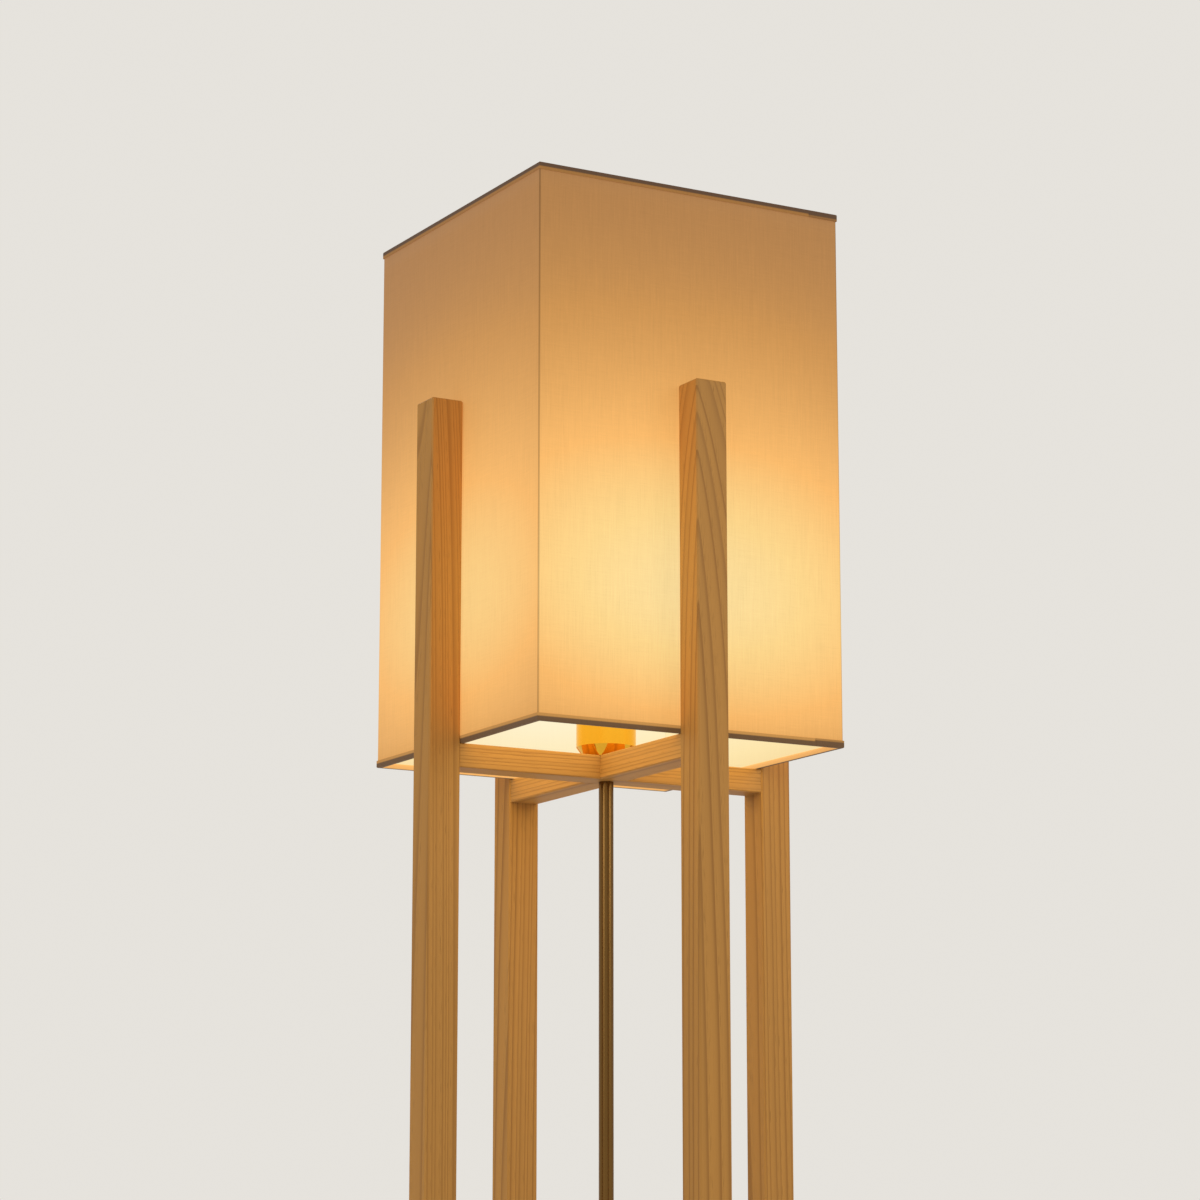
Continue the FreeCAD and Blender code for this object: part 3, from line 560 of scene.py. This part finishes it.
# %% Lit backing
INNER_STEPS = ((0.0, (0.52, 0.31, 0.11)), (0.3, (0.80, 0.58, 0.27)), (0.5, (0.89, 0.72, 0.38)),
               (0.8, (0.91, 0.82, 0.57)), (1.0, (0.91, 0.85, 0.66)))
backing_finish = lit_cloth("lit_backing", (0.05, 0.042, 0.028), INNER_STEPS, throw=1.8, corner=0.15,
                           streaks=0.02)
dress("shade_backing", backing_finish)
print("finish", backing_finish.name)

# %% [markdown]
# ## The cloth
# The cloth is one strip, glued round the stiff sheet and closed by a narrow lap at the back corner. Its
# outline is a square with folded corners, so Geometry Nodes draw it: a square curve, its corners
# filleted, swept with an upright line. Solidify then gives the thickness of the cloth.

# %% Helpers for meshes and geometry trees
MERGE = 1e-6


def new_object(name, data):
    obj = bpy.data.objects.new(name, data)
    bpy.context.scene.collection.objects.link(obj)
    return obj


def new_mesh(name, shape):
    """The shape as a mesh of its own; the shape is freed."""
    mesh = bpy.data.meshes.new(name)
    shape.to_mesh(mesh)
    shape.free()
    return mesh


def bake_modifiers(obj):
    """Replace the mesh by the result of its modifiers."""
    bpy.context.view_layer.update()
    made = bpy.data.meshes.new_from_object(obj.evaluated_get(bpy.context.evaluated_depsgraph_get()))
    obj.modifiers.clear()
    obj.data = made


def run_tree(name, tree, source=None, values=None):
    """Run a geometry tree on an object and keep the result as a plain mesh object."""
    obj = new_object(name, source or bpy.data.meshes.new(name))
    modifier = obj.modifiers.new("tree", "NODES")
    modifier.node_group = tree
    sockets = {s.name: s.identifier for s in tree.interface.items_tree if s.in_out == "INPUT"}
    for key, value in (values or {}).items():
        modifier[sockets[key]] = value
    bake_modifiers(obj)
    obj.data.name = name
    print(name, len(obj.data.vertices), "points,", len(obj.data.polygons), "faces")
    return obj


def tidy_mesh(obj, close=False):
    """Close open ends where asked, merge doubles, turn the faces outwards and shade them smooth."""
    shape = bmesh.new()
    shape.from_mesh(obj.data)
    if close:
        bmesh.ops.holes_fill(shape, edges=[e for e in shape.edges if e.is_boundary], sides=0)
    bmesh.ops.remove_doubles(shape, verts=shape.verts, dist=MERGE)
    bmesh.ops.recalc_face_normals(shape, faces=shape.faces)
    shape.to_mesh(obj.data)
    shape.free()
    obj.data.shade_smooth()


def join_mesh(obj, extra):
    """Add another mesh to an object's mesh as an island of its own."""
    shape = bmesh.new()
    shape.from_mesh(obj.data)
    shape.from_mesh(extra)
    shape.to_mesh(obj.data)
    shape.free()


def one_material(obj, material):
    obj.data.materials.clear()
    obj.data.materials.append(material)


def geo(tree, kind, inputs=None, **settings):
    """The first output of a new geometry node."""
    return add(tree, "GeometryNode" + kind, inputs, **settings).outputs[0]


def end_tree(tree, out, geometry, material):
    """Realize Instances and Set Material close every tree."""
    real = geo(tree, "RealizeInstances", {0: geometry})
    tree.links.new(geo(tree, "SetMaterial", {"Geometry": real, "Material": material}), out[0])


print("mesh helpers ready")


# %% The cloth's tree
def make_sleeve_tree():
    tree, given, out = new_group(
        "folded_sleeve",
        [("Side", FLOAT, 0.3), ("Fold Radius", FLOAT, 0.0014), ("Low", FLOAT, 0.0), ("High", FLOAT, 1.0),
         ("Rows", WHOLE, 24), ("Material", MATERIAL, None)],
        [("Geometry", GEOMETRY)], "GeometryNodeTree")
    square = geo(tree, "CurvePrimitiveQuadrilateral", {"Width": given["Side"], "Height": given["Side"]})
    folded = geo(tree, "FilletCurve", {"Curve": square, "Count": 6, "Radius": given["Fold Radius"]},
                 mode="POLY")
    upright = geo(tree, "SetCurveNormal", {"Curve": folded}, mode="Z_UP")
    low = combine(tree, y=times(tree, given["Low"], -1.0))
    high = combine(tree, y=times(tree, given["High"], -1.0))
    line = geo(tree, "CurvePrimitiveLine", {"Start": low, "End": high})
    rows = geo(tree, "ResampleCurve", {"Curve": line, "Count": given["Rows"]})
    sleeve = geo(tree, "CurveToMesh", {"Curve": upright, "Profile Curve": rows})
    end_tree(tree, out, sleeve, given["Material"])
    return tree


SLEEVE_TREE = make_sleeve_tree()
print("tree", SLEEVE_TREE.name)


# %% The cloth
def box_mesh(low, high):
    """A thin strip or plate between two corners."""
    shape = bmesh.new()
    bmesh.ops.create_cube(shape, size=1.0)
    bmesh.ops.scale(shape, vec=Vector(high) - Vector(low), verts=shape.verts)
    bmesh.ops.translate(shape, vec=(Vector(low) + Vector(high)) / 2, verts=shape.verts)
    return new_mesh("strip", shape)


CLOTH_THICK, FOLD_RADIUS, CLOTH_ROWS = 0.0004, 0.0014, 25
TUCKED = 0.0013
LAP_PROUD, LAP_SHORT = 0.0003, 0.0068
cloth_from, cloth_to = cloth_low.z + TUCKED, cloth_high.z - TUCKED
cloth = run_tree("shade_cloth", SLEEVE_TREE, values={
    "Side": 2 * face, "Fold Radius": FOLD_RADIUS, "Low": cloth_from, "High": cloth_to, "Rows": CLOTH_ROWS,
    "Material": shade_cloth_finish})
tidy_mesh(cloth)
wall = cloth.modifiers.new("thickness", "SOLIDIFY")
wall.thickness, wall.offset = CLOTH_THICK, -1
bake_modifiers(cloth)
join_mesh(cloth, box_mesh((lap_from, face, cloth_low.z + LAP_SHORT),
                          (face - LAP_BACK, face + LAP_PROUD, cloth_high.z - LAP_SHORT)))
one_material(cloth, shade_cloth_finish)
print("cloth", *[[round(v, 4) for v in cloth.bound_box[corner]] for corner in (0, 6)])
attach(cloth, "shade")
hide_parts("shade_fabric")

# %% [markdown]
# ## The rolled hems
# The shade's edges are closed by a tape of the same cloth: one flap is glued outside, the tape goes round
# the wire ring and its other edge is tucked in. Swept round a square, a section needs mitred corners,
# which a plain sweep pinches. So the tree sweeps one side only, from -1 to 1, and then sets every
# point's place along the side to that share times its own distance from the axis, which is exactly the
# mitre. Four turned copies make the hem, and a short run of one side makes the tape's overlapping end.


# %% The hem's tree
def make_hem_tree():
    tree, given, out = new_group(
        "mitred_hem",
        [("Section", GEOMETRY, None), ("From", FLOAT, -1.0), ("To", FLOAT, 1.0), ("Sides", WHOLE, 4),
         ("Cuts", WHOLE, 24), ("Material", MATERIAL, None)],
        [("Geometry", GEOMETRY)], "GeometryNodeTree")
    section = geo(tree, "MeshToCurve", {0: given["Section"]})
    path = geo(tree, "CurvePrimitiveLine",
               {"Start": combine(tree, given["From"]), "End": combine(tree, given["To"])})
    cut = geo(tree, "ResampleCurve", {"Curve": path, "Count": given["Cuts"]})
    upright = geo(tree, "SetCurveNormal", {"Curve": cut}, mode="Z_UP")
    swept = geo(tree, "CurveToMesh", {"Curve": upright, "Profile Curve": section, "Fill Caps": False})
    place = separate(tree, geo(tree, "InputPosition"))
    distance = absolute(tree, place["Y"])
    mitred = combine(tree, times(tree, place["X"], distance), times(tree, distance, -1.0), place["Z"])
    side = geo(tree, "SetPosition", {"Geometry": swept, "Position": mitred})
    spots = geo(tree, "MeshLine", {"Count": given["Sides"], "Offset": (0, 0, 0)})
    turn = combine(tree, z=times(tree, geo(tree, "InputIndex"), math.pi / 2))
    copies = geo(tree, "InstanceOnPoints", {"Points": spots, "Instance": side, "Rotation": turn})
    end_tree(tree, out, copies, given["Material"])
    return tree


HEM_TREE = make_hem_tree()
print("tree", HEM_TREE.name)


# %% The hem's section
def arc_points(centre, radius, start, end, count):
    return [(centre[0] + radius * math.cos(math.radians(start + (end - start) * i / count)),
             centre[1] + radius * math.sin(math.radians(start + (end - start) * i / count)))
            for i in range(count + 1)]


def ribbon(points, thickness):
    """The closed outline of a tape of that thickness along a line of points."""
    left, right = [], []
    for i, (x, z) in enumerate(points):
        before, after = points[max(i - 1, 0)], points[min(i + 1, len(points) - 1)]
        run = math.hypot(after[0] - before[0], after[1] - before[1])
        nx, nz = -(after[1] - before[1]) / run, (after[0] - before[0]) / run
        left.append((x + nx * thickness / 2, z + nz * thickness / 2))
        right.append((x - nx * thickness / 2, z - nz * thickness / 2))
    return left + right[::-1]


TAPE = 0.0005
WIRE_IN, WIRE_UP = 0.0029, 0.0023
FLAP_TOP, FLAP_LOW = 0.0064, 0.0044
TUCK_IN, TUCK_UP = 0.0013, 0.00205
BEND, HEM_CLEAR = 0.0009, 0.00002
wire_at = face - WIRE_IN
roll = TAPE / 2
outer_line = hem_high.x - roll - HEM_CLEAR
tape_line = ([(outer_line, FLAP_TOP), (outer_line, FLAP_LOW)]
             + arc_points((outer_line - BEND, BEND + roll), BEND, 0, -90, 6)
             + arc_points((wire_at, WIRE_UP), WIRE_UP - roll, -90, -265, 9)
             + [(wire_at + TUCK_IN, WIRE_UP + TUCK_UP)])


def section_mesh(line, thickness, edge, up):
    """The tape's outline as a loop: X is the distance from the axis, and a sweep lays Y downwards."""
    outline = [(x, -edge - up * z, 0) for x, z in ribbon(line, thickness)]
    mesh = bpy.data.meshes.new("section")
    mesh.from_pydata(outline, [(i, (i + 1) % len(outline)) for i in range(len(outline))], [])
    return mesh


# %% [markdown]
# The tape is double where it is rolled, and the wire stands behind it, so little of the bulb's light
# passes: against the lit cloth the roll looks a dark warm brown. The flap is one layer on the cloth and
# glows a little, and the side of the roll towards the bulb is lit by it. The base colour paints both:
# a dark brown for the roll is painted shade and an amber for the flap is painted lamp light, on one and
# the same tape. Where the tape ends over its own start, painted shade widens the dark roll band and
# darkens the flap, for the extra layer that lets less light through.

# %% Hem finish
# painted light: a shaded colour for the roll and a lit colour for the flap of the same tape
ROLL_SHADED_COLOUR, FLAP_LIT_COLOUR = (0.088, 0.048, 0.026), (0.235, 0.108, 0.022)
FLAP_LIGHT, INNER_LIGHT, LEAST_LIGHT = 0.50, 1.3, 0.10
FLAP_FROM, FLAP_FULL = 0.0031, 0.0045
END_FROM, FRONT_FACE = 0.1206, -0.1485
END_SHADE_REACH, END_DIMMER = 0.0008, 0.3
middle_height = (top_high.z + hem_low.z) / 2
half_height = (top_high.z - hem_low.z) / 2


def make_hem_finish():
    material, tree, shader, here = finish("rolled_tape", roughness=0.85, specular_ior_level=0.2,
                                          sheen_weight=0.1, sheen_roughness=0.5, emission_strength=1.0)
    glow = use_group(tree, LAMP_GLOW, Vector=here, Bulb_Height=glow_height)
    weave = use_group(tree, SLUB_WEAVE, Vector=here, Slub=0.0009)
    at = separate(tree, here)
    off_middle = absolute(tree, minus(tree, at["Z"], middle_height))
    from_edge = minus(tree, half_height, off_middle)
    # painted shade where the tape's end lies over its start: the dark roll band reaches further and the flap
    # is dimmed
    over_end = times(tree, math_node(tree, "GREATER_THAN", at["X"], END_FROM),
                     math_node(tree, "LESS_THAN", at["Y"], FRONT_FACE))
    behind = minus(tree, from_edge, times(tree, over_end, END_SHADE_REACH))
    single = minus(tree, 1.0, times(tree, over_end, END_DIMMER))
    flap = times(tree, step_up(tree, behind, FLAP_FROM, FLAP_FULL), single)
    # the base colour carries the painted shade of the roll and the painted lamp light of the flap
    base = blend_colours(tree, flap, ROLL_SHADED_COLOUR, FLAP_LIT_COLOUR)
    reach = math_node(tree, "MAXIMUM", absolute(tree, at["X"]), absolute(tree, at["Y"]))
    inward = minus(tree, 1.0, step_up(tree, reach, wire_at - 0.0012, wire_at + 0.0002))
    lit = math_node(tree, "MAXIMUM", times(tree, flap, FLAP_LIGHT), times(tree, inward, INNER_LIGHT))
    lit = math_node(tree, "MAXIMUM", lit, LEAST_LIGHT)
    scale_into(tree, shader, "Emission Color", light_ramp(tree, glow["Glow"], LIGHT_STEPS), lit)
    scale_into(tree, shader, "Base Color", base, noise_to(tree, weave["Streaks"], 0.82, 1.18))
    raise_surface(tree, shader, weave["Height"], 0.00015, 0.6)
    return material


hem_finish = make_hem_finish()
print("finish", hem_finish.name)

# %% The two hems
END_SHARES, END_CUTS, END_POINTS, END_THICK = (0.808, 0.996), 4, 7, 0.8
LIFT_FLAP, LIFT_ROLL, ROLL_UP_TO = 0.6, 0.35, 0.002


def make_hem(name, edge, up, node):
    hem = run_tree(name, HEM_TREE, section_mesh(tape_line, TAPE, edge, up), {"Material": hem_finish})
    over = [(x + TAPE * (LIFT_FLAP if z > ROLL_UP_TO else LIFT_ROLL), z) for x, z in tape_line[:END_POINTS]]
    end = run_tree(name + "_end", HEM_TREE, section_mesh(over, TAPE * END_THICK, edge, up), {
        "From": END_SHARES[0], "To": END_SHARES[1], "Sides": 1, "Cuts": END_CUTS, "Material": hem_finish})
    tidy_mesh(hem)
    tidy_mesh(end, close=True)
    join_mesh(hem, end.data)
    bpy.data.objects.remove(end)
    hem.data.set_sharp_from_angle(angle=math.radians(35))
    one_material(hem, hem_finish)
    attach(hem, "shade")
    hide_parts(node)
    print(name, "rides with the shade")


make_hem("bottom_hem", hem_low.z, 1, "bottom_binding")
make_hem("top_hem", top_high.z, -1, "top_binding")

# %% [markdown]
# ## The bulb
# A turned shape is a half section carried round the axis. The section comes from a few sizes; a helper
# closes it at the poles and turns the faces outwards. The globe is a true sphere down to its joint.


# %% Turning helpers
def circle(radius, height, steps):
    """Points round the axis at a height."""
    return [(radius * math.cos(2 * math.pi * i / steps), radius * math.sin(2 * math.pi * i / steps), height)
            for i in range(steps)]


def turned(name, section, material, body, stands_for, steps=96, sharp=32):
    """A closed turned piece; the section runs from the axis below to the axis above."""
    shape = bmesh.new()
    rings = []
    for radius, height in section:
        points = [(0, 0, height)] if radius < MERGE else circle(radius, height, steps)
        rings.append([shape.verts.new(point) for point in points])
    for below, above in zip(rings, rings[1:]):
        for i in range(steps):
            j = (i + 1) % steps
            corners = [below[i % len(below)], below[j % len(below)],
                       above[j % len(above)], above[i % len(above)]]
            shape.faces.new(dict.fromkeys(corners))
    bmesh.ops.recalc_face_normals(shape, faces=shape.faces)
    obj = new_object(name, new_mesh(name, shape))
    obj.data.materials.append(material)
    obj.data.shade_smooth()
    obj.data.set_sharp_from_angle(angle=math.radians(sharp))
    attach(obj, body)
    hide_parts(stands_for)
    print(name, len(obj.data.polygons), "faces")


# %% Globe and housing
GLOBE_RADIUS, GLOBE_STEPS = 0.030, 40
joint, globe_top = globe_low.z, globe_high.z
centre = globe_top - GLOBE_RADIUS
start = math.asin((joint - centre) / GLOBE_RADIUS)
angles = [start + (math.pi / 2 - start) * i / GLOBE_STEPS for i in range(GLOBE_STEPS)]
arc = [(GLOBE_RADIUS * math.cos(a), centre + GLOBE_RADIUS * math.sin(a)) for a in angles] + [(0, globe_top)]
rim = arc[0][0]


def make_globe_finish():
    material, tree, shader, here = finish("lit_opal", roughness=0.35, emission_strength=1.0)
    marks = use_group(tree, HANDLING, Vector=here, Cloud=18.0)
    edge = add(tree, "ShaderNodeLayerWeight", {"Blend": 0.35}).outputs["Facing"]
    light = blend_colours(tree, edge, (0.84, 0.76, 0.56), (0.70, 0.55, 0.33))
    tree.links.new(light, shader.inputs["Emission Color"])
    base = blend_colours(tree, marks["Cloud"], (0.10, 0.09, 0.075), (0.14, 0.125, 0.10))
    tree.links.new(base, shader.inputs["Base Color"])
    return material


JOINT_GAP, RIM_STEP = 0.0002, 0.0008
turned("opal_globe", [(0, joint + JOINT_GAP), (rim - RIM_STEP, joint + JOINT_GAP), *arc], make_globe_finish(),
       "bulb", "bulb_globe")

THREAD_DEPTH, THREAD_WALL, FIT = 0.0005, 0.00032, 0.0001
COLLAR_PROUD, COLLAR_BEVEL, RIM_BEVEL = 0.0007, 0.0004, 0.0003
FLARE_OVER_CAP, FLARE_UNDER_JOINT = 0.005, 0.003
FLARE_STEPS, FLARE_CURVED, FLARE_POWER = 16, 0.86, 0.9
neck_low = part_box("bulb_housing")[0].z
cap_low, cap_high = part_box("bulb_cap")
neck = cap_high.x - THREAD_DEPTH - THREAD_WALL - FIT
collar = cap_high.x + COLLAR_PROUD
flare_low, flare_high = cap_high.z + FLARE_OVER_CAP, joint - FLARE_UNDER_JOINT
flare = []
for i in range(FLARE_STEPS + 1):
    up = i / FLARE_STEPS
    curved = (1 - math.cos(math.pi / 2 * up)) ** FLARE_POWER
    outward = FLARE_CURVED * curved + (1 - FLARE_CURVED) * up
    flare.append((collar + (rim - collar) * outward, flare_low + (flare_high - flare_low) * up))
turned("bulb_housing_turned", [
    (0, neck_low), (neck, neck_low), (neck, cap_high.z), (collar - COLLAR_BEVEL, cap_high.z),
    (collar, cap_high.z + COLLAR_BEVEL), *flare,
    (rim, joint - JOINT_GAP), (rim - RIM_BEVEL, joint), (0, joint)],
    white_plastic, "bulb", "bulb_housing")

# %% [markdown]
# ### Rolled threads
# The cap's thread is a wave rolled into thin metal: the radius rises and falls once a pitch, and the wave
# climbs by one pitch a turn. A cylinder grid whose points move in and out by that rule is the thread. The
# cap's two rims stay plain, because the insulator and the housing sit in them. The same tree with other
# sizes makes the shell in the lampholder, where the bulb screws in. One screw passes the shell's floor, so
# the floor is a flat ring with a hole drilled by a Boolean.


# %% The thread's tree
def make_thread_tree():
    tree, given, out = new_group(
        "rolled_thread",
        [("Radius", FLOAT, 0.0126), ("Depth", FLOAT, 0.0005), ("Pitch", FLOAT, 0.00363), ("Low", FLOAT, 0.0),
         ("Length", FLOAT, 0.018), ("Plain", FLOAT, 0.0), ("Rim", FLOAT, 0.0022),
         ("Material", MATERIAL, None)],
        [("Geometry", GEOMETRY)], "GeometryNodeTree")
    wall = geo(tree, "MeshCylinder", {"Vertices": 72, "Side Segments": 60, "Radius": given["Radius"],
                                      "Depth": given["Length"]}, fill_type="NONE")
    place = separate(tree, geo(tree, "InputPosition"))
    angle = math_node(tree, "ARCTAN2", place["Y"], place["X"])
    half = times(tree, given["Length"], 0.5)
    climb = plus(tree, place["Z"], half)
    turns = minus(tree, divide(tree, climb, given["Pitch"]), divide(tree, angle, 2 * math.pi))
    wave = math_node(tree, "COSINE", times(tree, turns, 2 * math.pi))
    inside = minus(tree, half, absolute(tree, place["Z"]))
    fade = step_up(tree, inside, given["Plain"], plus(tree, given["Plain"], given["Rim"]))
    swell = times(tree, times(tree, wave, fade), times(tree, given["Depth"], 0.5))
    share = divide(tree, plus(tree, given["Radius"], swell), given["Radius"])
    moved = combine(tree, times(tree, place["X"], share), times(tree, place["Y"], share),
                    plus(tree, climb, given["Low"]))
    end_tree(tree, out, geo(tree, "SetPosition", {"Geometry": wall, "Position": moved}), given["Material"])
    return tree


THREAD_TREE = make_thread_tree()
print("tree", THREAD_TREE.name)


# %% Cap and shell
def make_thread(name, outer, low, high, material, body, node, floor=None, plain=0.0, rim=0.0022):
    """A threaded tube whose crests reach the outer radius."""
    thread = run_tree(name, THREAD_TREE, values={
        "Radius": outer - (THREAD_DEPTH + THREAD_WALL) / 2, "Depth": THREAD_DEPTH, "Low": low,
        "Length": high - low, "Plain": plain, "Rim": rim, "Material": material})
    tidy_mesh(thread)
    wall = thread.modifiers.new("wall", "SOLIDIFY")
    wall.thickness, wall.offset = THREAD_WALL, 0
    bake_modifiers(thread)
    thread.data.shade_smooth()
    thread.data.set_sharp_from_angle(angle=math.radians(50))
    if floor:
        join_mesh(thread, floor)
    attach(thread, body)
    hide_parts(node)
    print(name, "has", len(thread.data.polygons), "faces")


def washer_mesh(outer, inner, low, high, steps=72):
    """A flat ring between two radii."""
    shape = bmesh.new()
    loops = [[shape.verts.new(point) for point in circle(radius, height, steps)]
             for radius, height in ((inner, low), (outer, low), (outer, high), (inner, high))]
    for this, following in zip(loops, loops[1:] + loops[:1]):
        for i in range(steps):
            j = (i + 1) % steps
            shape.faces.new((this[i], this[j], following[j], following[i]))
    bmesh.ops.recalc_face_normals(shape, faces=shape.faces)
    return new_mesh("washer", shape)


def drill(mesh, x, radius, height, length=0.01):
    """Cut an upright round hole through a plate's mesh."""
    shape = bmesh.new()
    bmesh.ops.create_cone(shape, cap_ends=True, segments=32, radius1=radius, radius2=radius, depth=length)
    bmesh.ops.translate(shape, vec=(x, 0, height), verts=shape.verts)
    plate, bit = new_object("plate", mesh), new_object("drill", new_mesh("drill", shape))
    hole = plate.modifiers.new("hole", "BOOLEAN")
    hole.operation, hole.object = "DIFFERENCE", bit
    bake_modifiers(plate)
    drilled = plate.data
    for thing in (plate, bit):
        bpy.data.objects.remove(thing)
    return drilled


CAP_PLAIN, CAP_RIM = 0.0025, 0.0012
make_thread("threaded_cap", cap_high.x, cap_low.z, cap_high.z - FIT / 2, aluminium, "bulb",
            "bulb_cap", plain=CAP_PLAIN, rim=CAP_RIM)

SHELL_FLOOR, FLOOR_BORE, FLOOR_INSET, WALL_UP = 0.0005, 0.0085, 0.0003, 0.0004
SCREW_AT, SCREW_HOLE = 0.0112, 0.0011
shell_low, shell_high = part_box("screw_shell")
floor_plate = washer_mesh(shell_high.x - FLOOR_INSET, FLOOR_BORE, shell_low.z, shell_low.z + SHELL_FLOOR)
shell_floor = drill(floor_plate, SCREW_AT, SCREW_HOLE, shell_low.z)
make_thread("threaded_shell", shell_high.x, shell_low.z + WALL_UP, shell_high.z,
            nodes["centre_contact"].material_slots[0].material, "frame", "screw_shell",
            floor=shell_floor)

# %% [markdown]
# ## Camera, light and background
# The camera repeats the photograph's: low, looking up a little, with a long lens. The room is replaced by
# a plain pale studio: an even world, three large soft lamps, and a pale floor. What the camera and the
# metals see behind the lamp is a pale backdrop; that part of the world lights nothing. The floor is a
# disc that turns clear towards its rim, so it holds the lamp's shadow and has no horizon.

# %% Camera
YAW, PITCH = math.radians(29.565), math.radians(11.448)
camera = new_object("camera", bpy.data.cameras.new("camera"))
camera.data.sensor_width = 36.0
camera.data.lens = 104.19
camera.location = (-1.493, -2.621, 0.551)
camera.rotation_euler = (math.pi / 2 + PITCH, 0, -YAW)
bpy.context.scene.camera = camera
print("camera at", tuple(camera.location))


# %% Lamps
def soft_lamp(name, place, target, size, power):
    data = bpy.data.lights.new(name, "AREA")
    data.shape, data.size, data.energy = "DISK", size, power
    lamp = new_object(name, data)
    lamp.location = place
    lamp.rotation_euler = (Vector(target) - Vector(place)).to_track_quat("-Z", "Y").to_euler()


soft_lamp("key", (-3.0, -1.3, 2.3), (0, 0, 1.0), 2.2, 28)
soft_lamp("fill", (1.9, -2.9, 2.3), (0, 0, 1.0), 2.0, 34)
soft_lamp("back", (1.2, 3.0, 2.6), (0, 0, 1.1), 1.8, 40)
print("three lamps")

# %% World, backdrop and floor
EVEN_LIGHT, BACKDROP = 0.62, (0.79, 0.765, 0.72, 1)
FLOOR_RADIUS, FLOOR_CLEAR_FROM, FLOOR_CLEAR_TO = 4.0, 1.1, 3.6
world = bpy.data.worlds.new("studio")
bpy.context.scene.world = world
world.use_nodes = True
tree = world.node_tree
even = tree.nodes["Background"]
even.inputs["Color"].default_value = (1, 1, 1, 1)
even.inputs["Strength"].default_value = EVEN_LIGHT
seen = add(tree, "ShaderNodeBackground", {"Color": BACKDROP, "Strength": 1.0})
both = add(tree, "ShaderNodeMixShader", {0: seen_ray(tree), 1: even.outputs[0], 2: seen.outputs[0]})
tree.links.new(both.outputs[0], tree.nodes["World Output"].inputs["Surface"])

floor_material, tree, shader, here = finish("pale_floor", roughness=0.7, specular_ior_level=0.3)
marks = use_group(tree, HANDLING, Vector=here, Cloud=1.5)
pale_floor = blend_colours(tree, marks["Cloud"], (0.74, 0.72, 0.68), (0.80, 0.78, 0.74))
tree.links.new(pale_floor, shader.inputs["Base Color"])
from_lamp = add(tree, "ShaderNodeVectorMath", {0: here}, operation="LENGTH").outputs["Value"]
clear = step_up(tree, from_lamp, FLOOR_CLEAR_FROM, FLOOR_CLEAR_TO)
tree.links.new(minus(tree, 1.0, clear), shader.inputs["Alpha"])
disc = bmesh.new()
bmesh.ops.create_circle(disc, cap_ends=True, segments=96, radius=FLOOR_RADIUS)
floor = new_object("floor", new_mesh("floor", disc))
floor.data.materials.append(floor_material)
bpy.context.scene.view_settings.view_transform = "Standard"
print("world and floor ready")
